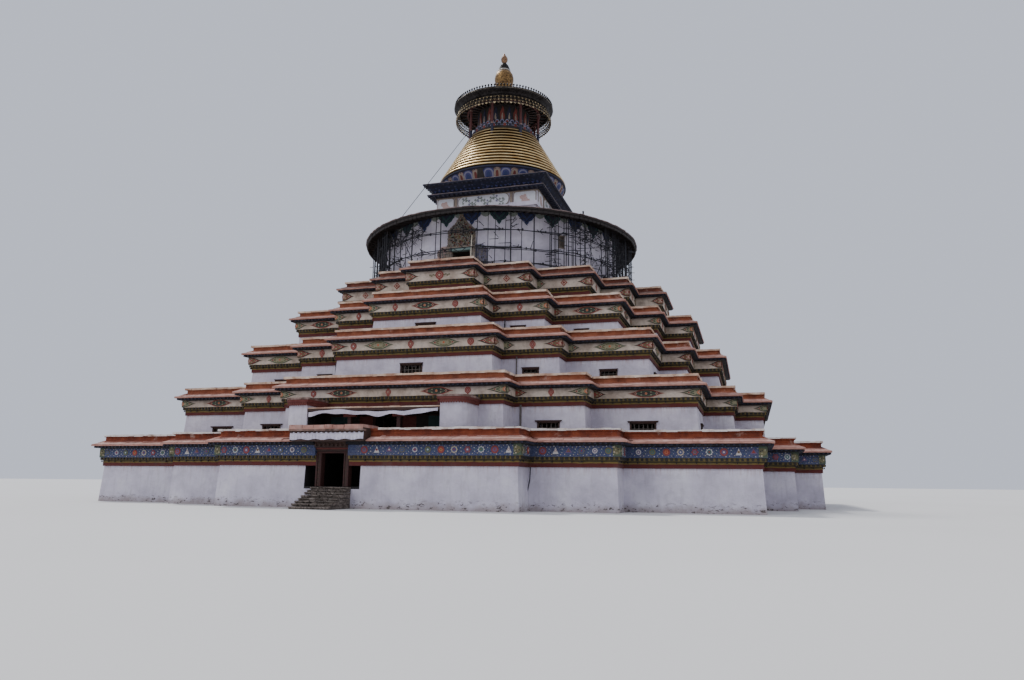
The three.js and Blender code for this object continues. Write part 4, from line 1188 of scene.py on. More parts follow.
def awning():
    """Narrow white awning along the porch roof, looped up so that both its edges wave."""
    half, drop_by = PORCH_INNER - 0.12, 0.24

    def length(across):
        return 0.22 + 0.05 * math.cos(across * 7 * math.pi + 0.6) + 0.025 * math.sin(across * 37)

    bm = hanging(-half, half, PORCH_FRONT - 0.02, PORCH_ROOF + 0.02, length, 220, 8, 0.05, 20)
    for vert in bm.verts:
        share = (vert.co.x + half) / (2 * half)
        swag = max(math.sin((share ** 0.8 - 0.1) * 8.6), -0.35)
        vert.co.z += 0.11 * swag - 0.04 + 0.02 * math.sin(share * 31)
    made = piece("awning_cloth", bm, [pale_cloth], 60, ["porch_awning"])


def porch():
    """Joinery of the porch: black boards at its back as painted shade of its dark inside, the door's trim,
    clay on the roof, joist ends, two posts.
    """
    bm = bmesh.new()
    dark, red, clay_top, brown, teal, black = range(6)
    back, middle = -TIERS[1]["front"] + WALL_FOOT_IN, 8
    wall = Run((-middle, back), (middle, back))
    # Black boards and black panels over the back wall are painted shade of the porch's dark inside; the teal
    # and brown panels are its painted wall
    for side in (-1, 1):
        us = sorted((middle + side * (PORCH_DOOR_HALF + 0.02), middle + side * (PORCH_INNER - 0.02)))
        brick(bm, wall, us, (0.0, 0.03), (PORCH_FLOOR, 5.6), black)
    panels = ((1.0, 1.9, brown), (1.9, 2.7, black), (2.7, 3.9, teal), (3.9, 4.28, black))
    for low, high, slot in [(-far, -near, slot) for near, far, slot in reversed(panels)] + list(panels):
        brick(bm, wall, (middle + low, middle + high), (0.02, 0.07), (4.25, 5.45), slot)
        for zs in ((5.45, 5.53), (4.18, 4.25)):
            brick(bm, wall, (middle + low - 0.03, middle + high + 0.03), (0.02, 0.1), zs, red)
    for side in (-1, 1):
        edge = middle + side * PORCH_DOOR_HALF
        us = sorted((edge + side * 0.01, edge + side * 0.16))
        brick(bm, wall, us, (0.0, 0.12), (PORCH_FLOOR, 5.54), red)
    front = Run((-PORCH_INNER, PORCH_FRONT), (PORCH_INNER, PORCH_FRONT))
    top, head, width, joists = PORCH_ROOF + PORCH_ROOF_THICK, PORCH_ROOF - 0.12, PORCH_INNER * 2, 24
    for us in strip(0.02, width - 0.02, 0.6, 1.2):
        brick(bm, front, us, (-2.05, -0.02), (top + 0.002, top + chance.uniform(0.06, 0.1)), clay_top)
    for i in range(joists):
        spot = 0.2 + i * (width - 0.4) / (joists - 1)
        brick(bm, front, around(spot, 0.05), (-2.0, -0.06), (head, PORCH_ROOF - 0.005), dark)
    for spot in around(PORCH_INNER, 1.6):
        brick(bm, front, around(spot, 0.11), (-0.5, -0.28), (PORCH_FLOOR, head), red)
        brick(bm, front, around(spot, 0.4), (-0.52, -0.26), (PORCH_ROOF - 0.34, head), brown)
    finishes = [dark_timber, red_timber, coping_lime("porch_clay", False),
                *pick("maroon", "deep_teal", "black")]
    return piece("porch_joinery", bm, finishes)


def pier_caps():
    """Caps of the porch piers: two maroon boards and a slate edge, over a toothed fringe."""
    bm = bmesh.new()
    brown, slab = range(2)
    low = wall_top(TIERS[1]) - 0.02
    back = -TIERS[1]["front"] + DENTIL_IN
    courses = ((-0.08, -0.015, low - 0.05, low + 0.14, brown), (-0.06, 0.03, low + 0.12, low + 0.26, brown),
               (-0.06, 0.06, low + 0.26, low + BAND + FILLET - 0.01, slab))
    for side in (-1, 1):
        inner, outer = side * (PORCH_INNER - 0.12), side * (PORCH_OUTER + 0.12)
        centre = Vector((side * (PORCH_OUTER - PORCH_CORNER), PORCH_FRONT + PORCH_CORNER, 0))
        path = [Vector((inner, back, 0)), Vector((inner, PORCH_FRONT - 0.12, 0))]
        for step in range(7):
            path.append(centre + round_spot(PORCH_CORNER + 0.12, side * step / 6 * math.pi / 2, 0))
        path.append(Vector((outer, back, 0)))
        for begin, end in zip(path, path[1:]):
            wall = Run(begin.xy, end.xy) if side > 0 else Run(end.xy, begin.xy)
            for inside, out, foot, top, slot in courses:
                brick(bm, wall, (0, wall.length), (inside, out), (foot, top), slot)
            teeth, pitch = spaced(wall.length, 0.16)
            for i in range(teeth):
                tooth = around((i + 0.5) * pitch, 0.045)
                brick(bm, wall, tooth, (-0.05, 0.0), (low - 0.1, low + 0.12), brown)
    return piece("pier_cap_fringe", bm, [painted["maroon"], brown_slate])


def dress_entrance():
    for build in (steps, doorway, hood_slates, valance, awning, porch, pier_caps):
        build()
    pier = limewash("limewash_piers", floor_of(1), wall_top(TIERS[1]), PORCH_SHADE)
    for name, finish in (("entrance_steps", step_stone), ("entrance_door_frame", red_timber),
                         ("entrance_hood", dark_timber), ("entrance_valance", pale_cloth),
                         ("porch_awning", pale_cloth), ("porch_roof", dark_timber),
                         ("porch_pier_west", pier), ("porch_pier_east", pier)):
        dress(name, finish)


# Drum

def arc_wall(bm, sweep, zs, steps):
    """Piece of the drum's wall between two bearings in degrees and two heights."""
    start, end = (math.radians(angle) for angle in sweep)
    foot = round_spot(DRUM_RADIUS, start, zs[0])
    inward = Vector((-math.sin(start), math.cos(start), 0)) * DRUM_THICK
    up = Vector((0, 0, zs[1] - zs[0]))
    corners = (foot, foot + inward, foot + inward + up, foot + up)
    face = bm.faces.new([bm.verts.new(corner) for corner in corners])
    bmesh.ops.spin(bm, geom=[face], cent=(0, 0, 0), axis=(0, 0, 1), dvec=(0, 0, 0), angle=end - start,
                   steps=steps, use_merge=False, use_duplicate=False)


def drum_wall():
    """Round limewashed wall, open at its doorway and its small window, with its inner face painted dark as
    the shade inside.
    """
    bm = bmesh.new()
    foot = floor_of(5) + 0.001
    door = math.degrees(math.asin(DOOR_HALF / DRUM_RADIUS))
    slit = math.degrees(LOOKOUT_HALF / DRUM_RADIUS)
    before, after = around(LOOKOUT_ANGLE, slit)
    arc_wall(bm, (door, before), (foot, DRUM_TOP), 16)
    arc_wall(bm, (after, 360 - door), (foot, DRUM_TOP), 110)
    arc_wall(bm, (-door, door), (DOOR_HEAD, DRUM_TOP), 4)
    arc_wall(bm, (before, after), (foot, LOOKOUT_SILL), 2)
    arc_wall(bm, (before, after), (LOOKOUT_HEAD, DRUM_TOP), 2)
    # Faces on the inner side get the dark finish: painted shade of the drum's dark inside
    for face in bm.faces:
        if face.calc_center_median().xy.length < DRUM_RADIUS - 0.3:
            face.material_index = 1
    return piece("drum_wall", bm, [drum_lime, dark_plaster], 20,
                 ["drum_wall_east", "drum_wall_west", "drum_wall_over_door"])


def drum_eaves():
    """Round roof: clay top with a pale slate edge, dark rim boards, and rafters that fall to the rim."""
    bm = bmesh.new()
    dark, earth, slab = range(3)
    edge = RIM_RADIUS - 0.16
    turned(bm, [(0, DRUM_TOP + 0.08), (DRUM_RADIUS, DRUM_TOP + 0.08), (edge, RIM_LOW + 0.06),
                (edge, RIM_HIGH - 0.1), (ROOF_FLAT, ROOF_TOP - 0.1), (0, ROOF_TOP - 0.1)], 120, dark)
    turned(bm, [(0, ROOF_TOP - 0.12), (ROOF_FLAT, ROOF_TOP - 0.12), (edge, RIM_HIGH - 0.12),
                (edge, RIM_HIGH), (ROOF_FLAT, ROOF_TOP), (0, ROOF_TOP)], 120, earth)
    rim, boards, rafters = Round(RIM_RADIUS), 170, 144
    wide = rim.length / boards / 2 - 0.006
    for i in range(boards):
        u = i * rim.length / boards
        out = chance.uniform(-0.04, 0.0)
        lift = chance.uniform(-0.02, 0.015)
        brick(bm, rim, around(u, wide), (-0.6, out), (RIM_HIGH - 0.05 + lift, RIM_HIGH + lift), slab)
        brick(bm, rim, around(u, wide), (-0.2, out - 0.06), (RIM_HIGH - 0.18, RIM_HIGH - 0.08), dark)
        brick(bm, rim, around(u, wide * 0.9), (-0.2, out - 0.1), (RIM_LOW, RIM_HIGH - 0.22), dark)
    for i in range(rafters):
        angle = i * 2 * math.pi / rafters
        sink = 0.02 - chance.uniform(0.0, 0.03)
        foot = round_spot(DRUM_RADIUS, angle, DRUM_TOP + sink)
        pole(bm, foot, round_spot(RIM_RADIUS - 0.2, angle, RIM_LOW + sink), 0.065, 4, dark)
    knob = round_spot(RIM_RADIUS - 0.35, math.radians(50.3), RIM_HIGH + 0.1)
    pole(bm, knob, knob + Vector((0, 0, 0.2)), 0.09, 8, dark, 0.05)
    bead(bm, knob + Vector((0, 0, 0.25)), 0.09, dark)
    return piece("drum_eaves", bm, [soffit_timber, roof_clay, rim_slate], 30, ["drum_roof"])


def pendants():
    """Blue and teal pendants in turn under the drum's eave, with small grey swags between them."""
    bm = bmesh.new()
    navy, swag_grey = 2, 3
    wall = Round(DRUM_RADIUS)
    top = DRUM_TOP - 0.03
    half = [(0.74, 0), (0.7, -0.24), (0.56, -0.36), (0.44, -0.56), (0.2, -0.68), (0.14, -0.84), (0.0, -1.0)]
    outline = half + [(-x, z) for x, z in reversed(half[:-1])]
    swag = [(0.42, 0), (0.36, -0.16), (0.2, -0.3), (0, -0.36), (-0.2, -0.3), (-0.36, -0.16), (-0.42, 0)]
    for i in range(PENDANTS):
        u = (math.radians(FIRST_PENDANT) + i * 2 * math.pi / PENDANTS) * DRUM_RADIUS
        badges(bm, wall, u, top, [
            (outline, (0.005, 0.05), i % 2), (scaled(outline, 0.8), (0.02, 0.07), navy),
            (scaled(outline, 0.66), (0.03, 0.085), i % 2), (scaled(outline, 0.4, 0.42), (0.06, 0.1), navy)])
        badge(bm, wall, u + wall.length / PENDANTS / 2, top, swag, (0.004, 0.04), swag_grey)
    finishes = pick("deep_blue", "deep_teal", "deep_navy", "grey_green")
    return piece("drum_pendants", bm, finishes)


def soffit(radius):
    """Underside of the drum's roof at a radius."""
    return DRUM_TOP - (radius - DRUM_RADIUS) * (DRUM_TOP - RIM_LOW) / (RIM_RADIUS - DRUM_RADIUS)


def uprights(bm):
    """Uneven uprights in ones and twos, and an outer row over the terrace corners and the sides."""
    foot = floor_of(5) + 0.01
    found = []
    angle = math.radians(SOUTH_POLES[-1])
    while angle < math.radians(SOUTH_POLES[0] + 360 - 5):
        angle += chance.choice((0.022, 0.05, 0.06, 0.08, 0.1))
        found.append(angle)
    for angle in [math.radians(bearing) for bearing in SOUTH_POLES] + found:
        radius = SCAFFOLD_RADIUS + chance.uniform(-0.1, 0.12)
        high = round_spot(radius, angle + chance.uniform(-0.01, 0.01), soffit(radius) - 0.08)
        thick = chance.choice((0.03, 0.034, 0.038, 0.042, 0.06))
        pole(bm, round_spot(radius, angle, foot), high, thick, tip_radius=thick * 0.8)
    for side, turn in itertools.product(range(4), OUTER_POLES):
        angle = math.radians(side * 90 + turn + chance.uniform(-0.4, 0.4))
        if math.cos(angle) > 0.8:
            continue
        radius = chance.uniform(*OUTER_ROW)
        high = soffit(radius) - 0.08
        pole(bm, round_spot(radius, angle, foot), round_spot(radius, angle, high), 0.04, tip_radius=0.035)
        for _ in range(5):
            z = chance.uniform(foot + 0.6, soffit(radius) - 0.3)
            low = round_spot(radius + chance.uniform(-0.4, 0.1), angle - chance.uniform(0.01, 0.04), z)
            reach, bearing = radius + chance.uniform(0.0, 0.3), angle + chance.uniform(0.01, 0.04)
            tip = round_spot(reach, bearing, z + chance.uniform(-0.2, 0.2))
            pole(bm, low, tip, 0.03, 5, tip_radius=0.02)


def ledger_rows(bm):
    """Wavering double ledgers lashed to the uprights, with stub ends that stick out."""
    rows = ((0.0, SCAFFOLD_RADIUS, 1.0), (-0.16, SCAFFOLD_RADIUS + 0.12, 0.75))
    for level, (rise, radius, part) in itertools.product(LEDGERS, rows):
        angle = start = chance.uniform(0, 0.2)
        z = level + rise
        while angle < start + 2 * math.pi:
            sweep = chance.uniform(0.14, 0.3)
            next_z = level + rise + chance.uniform(-0.1, 0.1)
            if chance.random() < part:
                tip = round_spot(radius, angle + sweep + 0.02, next_z)
                thick = chance.uniform(0.03, 0.042)
                pole(bm, round_spot(radius, angle - 0.02, z), tip, thick, tip_radius=0.03)
                bead(bm, tip, chance.uniform(0.07, 0.1), 0, (1, 1, 1.5))
            z = next_z
            angle += sweep


def tangle(bm, sweep, count):
    """Twiggy offcuts lashed along the scaffold between two bearings in degrees."""
    lowest, highest = floor_of(5) + 0.4, 22.1
    for _ in range(count):
        angle = math.radians(chance.uniform(*sweep))
        level = chance.choice(LEDGERS + [22.0, 21.5]) + chance.gauss(0, 0.32)
        radius = SCAFFOLD_RADIUS + chance.uniform(-0.1, 0.2)
        foot = round_spot(radius, angle, min(max(level, lowest), highest))
        along, out = round_spot(1.0, angle + math.pi / 2, 0), round_spot(1.0, angle, 0)
        way = along * chance.uniform(-1, 1) + out * chance.uniform(-0.2, 0.35)
        way.z = chance.uniform(-0.6, 0.6)
        tip = foot + way.normalized() * chance.uniform(0.35, 1.0)
        reach = tip.xy.length
        if DRUM_RADIUS + 0.1 < reach < RIM_RADIUS - 0.3 and tip.z < soffit(reach) - 0.05:
            pole(bm, foot, tip, 0.032, 4, tip_radius=0.018)


def scaffold_poles():
    """Bare poles lashed round the drum: uprights, ledgers, ties to the wall, braces and offcuts."""
    bm = bmesh.new()
    ties, braces, outside = 44, 24, SCAFFOLD_RADIUS + 0.1
    uprights(bm)
    ledger_rows(bm)
    for i in range(ties):
        angle = i * 2 * math.pi / ties + chance.uniform(-0.05, 0.05)
        z = chance.choice(LEDGERS) + chance.uniform(-0.1, 0.1)
        tip = round_spot(SCAFFOLD_RADIUS + chance.uniform(0.1, 0.75), angle, z)
        pole(bm, round_spot(DRUM_RADIUS + 0.02, angle, z), tip, 0.032, 5)
    for _ in range(braces):
        angle = chance.uniform(0.55, 2 * math.pi - 0.3)
        low = chance.choice([floor_of(5) + 0.01, LEDGERS[0], LEDGERS[1]])
        sweep = chance.choice([-1, 1]) * chance.uniform(0.05, 0.16)
        high = min(low + chance.uniform(1.4, 2.4), SCAFFOLD_TOP - 0.2)
        tip = round_spot(outside, angle + sweep, high)
        pole(bm, round_spot(outside, angle, low), tip, 0.035, tip_radius=0.025)
    for sweep, count in (((-66, -18), 330), ((-18, 50), 60), ((50, 84), 200), ((84, 294), 420)):
        tangle(bm, sweep, count)
    return piece("scaffold_poles", bm, [pole_bark], 60, ["scaffold"])


def door_carving():
    """Carved surround of the drum's doorway: jambs, pointed arch in bosses, scrolled side panels, lintel."""
    bm = bmesh.new()
    stone_grey, teal, moss, green, pale, dark, soot, dull_red, pink, lilac = range(10)
    boss_slots = (stone_grey, stone_grey, pale, green, dark, stone_grey, moss, soot, dull_red)
    wall = Round(DRUM_RADIUS)
    foot = floor_of(5)
    (wing, wing_top), (_, wing_peak), (body, _), (_, body_top), (narrow, shoulder), (tip, peak) = SURROUND
    for side in (-1, 1):
        for out, spot in ((0.18, 0.86), (0.24, 1.06)):
            brick(bm, wall, around(side * spot, 0.1), (-0.1, out), (foot, DOOR_HEAD + 0.1), stone_grey)
            for z in (foot + 0.1, foot + 1.0, DOOR_HEAD - 0.2):
                brick(bm, wall, around(side * spot, 0.12), (-0.1, out + 0.04), (z, z + 0.12), pale)
        panel = [(side * x, z - foot) for x, z in (
            (1.1, foot), (wing, foot), (wing, wing_top), (1.75, wing_peak), (1.1, wing_peak))]
        badge(bm, wall, 0, foot, panel, (-0.1, 0.05), pink if side < 0 else lilac)
        for row, column in itertools.product(range(12), range(3)):
            u = side * (1.36 + column * 0.3 + 0.05 * math.sin(row * 2.1))
            z = foot + 0.14 + row * 0.225
            if z > wing_top and column == 2:
                continue
            slot = chance.choice(boss_slots)
            for i in range(7):
                angle, reach = i * 0.8 + row + column, 0.03 + 0.015 * i
                spot = wall.at(u + reach * math.cos(angle), 0.08, z + reach * math.sin(angle))
                bead(bm, spot, chance.uniform(0.03, 0.045), slot)
    tympanum = [(x, z - DOOR_HEAD) for x, z in (
        (body, DOOR_HEAD), (body + 0.02, DOOR_HEAD + 0.9), (body - 0.03, body_top), (0.86, body_top + 0.32),
        (narrow, shoulder), (0.28, shoulder + 0.4), (tip, peak))]
    full = tympanum + [(-x, z) for x, z in reversed(tympanum)]
    badge(bm, wall, 0, DOOR_HEAD + 0.02, full, (-0.1, 0.12), dark)
    for row in range(26):
        z = 0.12 + row * 0.112
        low, high = next(pair for pair in zip(tympanum, tympanum[1:]) if pair[0][1] <= z <= pair[1][1])
        half = low[0] + (high[0] - low[0]) * (z - low[1]) / (high[1] - low[1])
        count = max(int(half / 0.085), 1)
        for i in range(-count, count + 1):
            u = i * half / (count + 0.3) + chance.uniform(-0.02, 0.02)
            slot = chance.choice((stone_grey, pale) if abs(i) >= count - 1 else boss_slots)
            spot = wall.at(u, 0.13, DOOR_HEAD + z + chance.uniform(-0.02, 0.02))
            bead(bm, spot, chance.uniform(0.045, 0.085), slot, (1, 1, chance.uniform(0.7, 1.3)))
    brick(bm, wall, around(0, 0.9), (-0.15, 0.28), (DOOR_HEAD - 0.02, DOOR_HEAD + 0.2), teal)
    brick(bm, wall, around(0, 1.02), (-0.15, 0.34), (DOOR_HEAD + 0.2, DOOR_HEAD + 0.27), pale)
    finishes = [stucco, *pick("pale_teal", "olive", "grey_green", "dim_stucco"), dark_plaster,
                *pick("black", "dim_red", "rose", "lilac_grey")]
    return piece("drum_door_carving", bm, finishes, 30, ["drum_door_surround"])


def drum_trim():
    """Frame of the drum's small window and the pale pole beside its doorway."""
    bm = bmesh.new()
    pale, bar, pale_pole = range(3)
    wall = Round(DRUM_RADIUS)
    u, half = math.radians(LOOKOUT_ANGLE) * DRUM_RADIUS, LOOKOUT_HALF
    for side in (-1, 1):
        us = sorted((u + side * (half - 0.02), u + side * (half + 0.06)))
        brick(bm, wall, us, (-0.2, 0.04), (LOOKOUT_SILL - 0.06, LOOKOUT_HEAD + 0.03), pale)
    brick(bm, wall, around(u, half + 0.09), (-0.2, 0.08), (LOOKOUT_HEAD, LOOKOUT_HEAD + 0.08), pale)
    brick(bm, wall, around(u, half + 0.08), (-0.2, 0.06), (LOOKOUT_SILL - 0.08, LOOKOUT_SILL), pale)
    for share in (-0.4, 0.0, 0.4):
        brick(bm, wall, around(u + share * half, 0.02), (-0.12, -0.07), (LOOKOUT_SILL, LOOKOUT_HEAD), bar)
    pole(bm, wall.at(0.84, 0.42, floor_of(5) + 0.02), wall.at(0.94, 0.38, 20.65), 0.05, 8, pale_pole, 0.035)
    return piece("drum_trim", bm, [painted["dim_stucco"], stucco, painted["cream"]])


def dress_drum():
    for build in (drum_wall, drum_eaves, pendants, scaffold_poles, door_carving, drum_trim):
        build()
    for name, finish in (("drum_wall_east", drum_lime), ("drum_wall_west", drum_lime),
                         ("drum_wall_over_door", drum_lime), ("drum_roof", brown_slate),
                         ("drum_door_surround", stucco), ("scaffold", pole_bark)):
        dress(name, finish)


# Square block

def square_runs(half):
    corners = [(-half, -half), (half, -half), (half, half), (-half, half)]
    return [Run(corners[i], corners[(i + 1) % 4]) for i in range(4)]


def rounded_box(half_wide, half_tall, radius, steps=4):
    """Outline of a rectangle with rounded corners."""
    wide, tall = half_wide - radius, half_tall - radius
    found = []
    for turn, (x, z) in enumerate(((wide, tall), (-wide, tall), (-wide, -tall), (wide, -tall))):
        for i in range(steps + 1):
            angle = math.radians(turn * 90 + 90 * i / steps)
            found.append((x + radius * math.cos(angle), z + radius * math.sin(angle)))
    return found


def vine(bm, run, start, end, middle, slots):
    """Waving vine of small blossoms with leaves on both sides."""
    blossoms = 56
    for i in range(blossoms):
        share = (i + 0.5) / blossoms
        u, z = start + (end - start) * share, middle + 0.24 * math.sin(share * 6 * math.pi)
        badge(bm, run, u, z, regular(5, 0.055), (0.05, 0.085), slots[0])
        if i % 4 == 1:
            for way in (-1, 1):
                reach = chance.uniform(0.12, 0.24)
                leaf = regular(5, chance.uniform(0.11, 0.16), 0.07, chance.uniform(0, 1))
                badge(bm, run, u, z + way * reach, leaf, (0.05, 0.09), slots[0 if i % 3 else 1])


def block_panels():
    """Pale panels on the block's four faces: a vine in a long cartouche, rosy figures beside it."""
    bm = bmesh.new()
    ground, edge, leaf, red, figure, violet = range(6)
    low, high = ROOF_TOP + 1.0, BLOCK_TOP - 0.06
    cloud = ((0, -0.1, 0.34, figure), (-0.26, 0.16, 0.22, figure), (0.28, -0.24, 0.24, figure),
             (0.02, 0.28, 0.16, figure), (0.05, -0.1, 0.15, edge), (-0.2, 0.2, 0.08, red))
    for run in square_runs(BLOCK_HALF):
        for start, end, middle, tall in ((0.08, 1.68, 25.6, 0.72), (2.02, 6.78, 25.78, 0.56),
                                         (7.14, 9.2, 25.6, 0.72)):
            long = end - start > 3
            half, centre = (end - start) / 2, (start + end) / 2
            corner = tall * (0.85 if long else 0.3)
            badges(bm, run, centre, middle, [
                (rounded_box(half, tall, corner), (0.0, 0.05), edge),
                (rounded_box(half - 0.07, tall - 0.07, corner * 0.9), (0.01, 0.07), ground)])
            if long:
                vine(bm, run, start + 0.4, end - 0.4, middle, (leaf, violet))
                continue
            for dx, dz, size, slot in cloud:
                shape = regular(7, size, size * 0.8)
                badge(bm, run, centre + dx, middle + dz, shape, (0.05, 0.075 + size / 30), slot)
        for spot in (1.85, 6.96):
            brick(bm, run, around(spot, 0.11), (0.0, 0.1), (low, high), edge)
        brick(bm, run, (0.0, run.length), (0.0, 0.08), around(high, 0.05), edge)
    finishes = pick("pale_grey", "dim_stucco", "grey_green", "maroon", "rose", "lilac_grey")
    return piece("block_panels", bm, finishes)


def block_eaves():
    """Joist ends, painted band and slates of the block's two eaves."""
    bm = bmesh.new()
    slab, joist, blue, violet = range(4)
    gap = 0.008
    for half, z, wide in ((LOW_EAVE_HALF, LOW_EAVE_Z, 0.3), (HIGH_EAVE_HALF, HIGH_EAVE_Z, 0.34)):
        for run in square_runs(half):
            for low, high in strip(0.0, run.length, 0.5, 0.9):
                thick = chance.uniform(0.03, 0.05)
                tile(bm, run, (low + gap, high - gap), (0.0, wide), (z + 0.045, z + 0.14), thick, slab)
            count = int(run.length / 0.42)
            for i in range(count):
                u = (i + 0.5) * run.length / count
                brick(bm, run, around(u, 0.07), (-0.5, -0.04), (z - 0.14, z - 0.03), joist)
    diamonds = 24
    for run in square_runs(BLOCK_HALF + 0.27):
        for i in range(diamonds):
            u = (i + 0.5) * run.length / diamonds
            badge(bm, run, u, 26.98, regular(4, 0.13), (-0.06, 0.06), blue if i % 2 else violet)
    finishes = [rim_slate, *pick("deep_navy", "deep_blue", "violet_blue")]
    return piece("block_eave_trim", bm, finishes)


def dress_block():
    block_panels()
    block_eaves()
    dress("square_block", limewash("limewash_block", ROOF_TOP, BLOCK_TOP))
    dress("square_block_eaves", eave_paint())


def eave_paint():
    """Navy eaves with a faded painted band between them."""
    paint = Finish("eave_paint", 0.85)
    base = paint.ramp(paint.noise(2.5, 5), [(0.35, "11111e"), (0.6, "1b1d33"), (0.8, "2c2d42")])
    pattern = paint.ramp(paint.cells(3.4), [(0.12, "5d4f63"), (0.24, "26345a"), (0.42, "171a31")])
    height = paint.axes[2]
    band = paint.sum("MULTIPLY", paint.span(height, BLOCK_BAND_LOW, BLOCK_BAND_LOW + 0.04),
                     paint.span(height, BLOCK_BAND_HIGH, BLOCK_BAND_HIGH - 0.1))
    mixed = paint.mix(paint.sum("MULTIPLY", band, 0.75), base, pattern)
    return paint.coat(mixed, paint.noise(9.0, 5), 0.02)


# Spire, parasol and finial

def spire_base():
    """Round foot of the spire: painted arches and petals in turn on a face that leans out to a dark rim."""
    bm = bmesh.new()
    navy, violet, lilac, brown, pale, red, black, blue = range(8)
    low, brim = HIGH_EAVE_TOP + 0.001, BASE_RIM_HIGH - 0.2
    lean = (BASE_RIM - 0.1 - BASE_RADIUS) / (brim - low)
    turned(bm, [(0, low), (BASE_RADIUS - 0.04, low), (BASE_RIM - 0.12, brim), (BASE_RIM, brim + 0.05),
                (BASE_RIM, BASE_RIM_HIGH - 0.05), (BASE_RIM - 0.06, BASE_RIM_HIGH),
                (RING_LOW_RADIUS - 0.1, RING_LOW - 0.001), (0, RING_LOW - 0.001)], 96, navy)
    wall = Round(BASE_RADIUS - 0.04, low, lean)
    tall, count = brim - low, 23
    step = math.radians(340) / (count - 1)
    arches = ((0.52, 0.98, 0.03, violet), (0.42, 0.88, 0.045, lilac), (0.3, 0.74, 0.06, violet),
              (0.16, 0.56, 0.07, blue))
    petals = ((0.4, 0.98, 0.02, brown), (0.3, 0.86, 0.035, pale), (0.12, 0.7, 0.05, red))
    for i in range(count):
        for shift, layers in ((0.0, arches), (0.5, petals)):
            u = (math.radians(5) + i * step + shift * step) * wall.radius
            for half, share, out, slot in layers:
                badge(bm, wall, u, low, arch(half, tall * share, tall * share * 0.45), (-0.02, out), slot)
    niche = math.radians(-2.5) * wall.radius
    badge(bm, wall, niche, low, [(0.36, 0), (0.2, tall), (-0.2, tall), (-0.36, 0)], (-0.02, 0.08), black)
    finishes = [*pick("deep_navy", "violet_blue", "lilac_grey"), brown_slate,
                *pick("dim_stucco", "maroon", "black", "deep_blue")]
    return piece("spire_base_paint", bm, finishes, 30, ["spire_base"])


def ring_radius(z):
    along = (z - RING_LOW) / (RING_HIGH - RING_LOW)
    return RING_LOW_RADIUS + (RING_HIGH_RADIUS - RING_LOW_RADIUS) * along


def rings():
    """Thirteen rounded gilt rings with deep grooves between them."""
    bm = bmesh.new()
    # One ring: which of its two edges a point is measured from, how far out of it, and its height
    section = ((0, -0.2, 0.01 / RING_PITCH), (0, -0.1, 0.12), (0, -0.02, 0.26), (0, 0.0, 0.4),
               (0, -0.03, 0.58), (1, 0.03, 0.76), (1, -0.05, 0.88), (1, -0.2, 0.93))
    profile = [(0, RING_LOW)]
    for i in range(RING_COUNT):
        low = RING_LOW + i * RING_PITCH
        edges = ring_radius(low), ring_radius(low + RING_PITCH)
        profile += [(edges[edge] + out, low + RING_PITCH * share) for edge, out, share in section]
    profile.append((0, RING_HIGH))
    turned(bm, profile, 112)
    return piece("gilt_rings", bm, [gilt], 50, ["spire_rings"])


def neck():
    """Painted neck between rings and parasol: rows of grey arches below, dim red flames above."""
    bm = bmesh.new()
    black, red, navy, pale, lilac = range(5)
    low, top = RING_HIGH + 0.001, PARASOL_CEILING - 0.001
    turned(bm, [(0, low), (RING_HIGH_RADIUS - 0.14, low), (NECK_BULGE - 0.06, NECK_BULGE_Z - 0.12),
                (NECK_BULGE - 0.02, NECK_BULGE_Z), (NECK_BULGE - 0.14, NECK_BULGE_Z + 0.14),
                (NECK_RADIUS, NECK_RADIUS_Z), (NECK_RADIUS, top), (0, top)], 72, black)
    wall, flames = Round(NECK_RADIUS), 24
    flame = [(0.2, 0), (0.24, 0.4), (0.12, 0.75), (0.16, 1.0), (0, 1.35), (-0.1, 1.0), (-0.2, 0.75),
             (-0.22, 0.35), (-0.18, 0)]
    for i in range(flames):
        u = i * wall.length / flames
        badge(bm, wall, u, NECK_RADIUS_Z + 0.05, flame, (-0.02, 0.04), red if i % 2 else navy)
        badge(bm, wall, u, NECK_RADIUS_Z + 0.08, scaled(flame, 0.4, 0.5), (-0.02, 0.06), pale)
    bulge, arches = Round(NECK_BULGE - 0.1), 36
    for shift, half, tall, rise, out in ((0.0, 0.23, 0.5, -0.34, 0.06), (0.5, 0.21, 0.42, 0.1, -0.16)):
        for i in range(arches):
            badges(bm, bulge, (i + shift) * bulge.length / arches, NECK_BULGE_Z + rise, [
                (arch(half, tall, tall * 0.4), (-0.3, out), lilac),
                (arch(half * 0.66, tall * 0.76, tall * 0.3), (-0.3, out + 0.02), navy if i % 2 else red)])
    finishes = pick("black", "dim_red", "deep_navy", "dim_stucco", "lilac_grey")
    return piece("neck_paint", bm, finishes, 30, ["spire_neck"])


def posts():
    """Eight-sided posts of the parasol, red above and blue below, with collars, and a red hoop at their
    heads.
    """
    bm = bmesh.new()
    red, navy, collar = range(3)
    foot, head = POST_LOW, PARASOL_CEILING - 0.2
    for i in range(POST_COUNT):
        angle = i * 2 * math.pi / POST_COUNT
        for low, high, radius, slot in ((foot, POST_BLUE, 0.135, navy), (POST_BLUE, head, 0.12, red),
                                        (POST_BLUE - 0.06, POST_BLUE + 0.04, 0.15, collar),
                                        (head - 0.22, head - 0.12, 0.15, collar)):
            ends = [round_spot(POST_RADIUS, angle, z) for z in (low, high)]
            pole(bm, *ends, radius, 8, slot)
    hoop(bm, POST_RADIUS, PARASOL_CEILING - 0.1, 0.1, 8, 60, red)
    finishes = [*pick("dark_red", "deep_navy"), brown_slate]
    return piece("parasol_painted_posts", bm, finishes, 40, ["parasol_posts"])


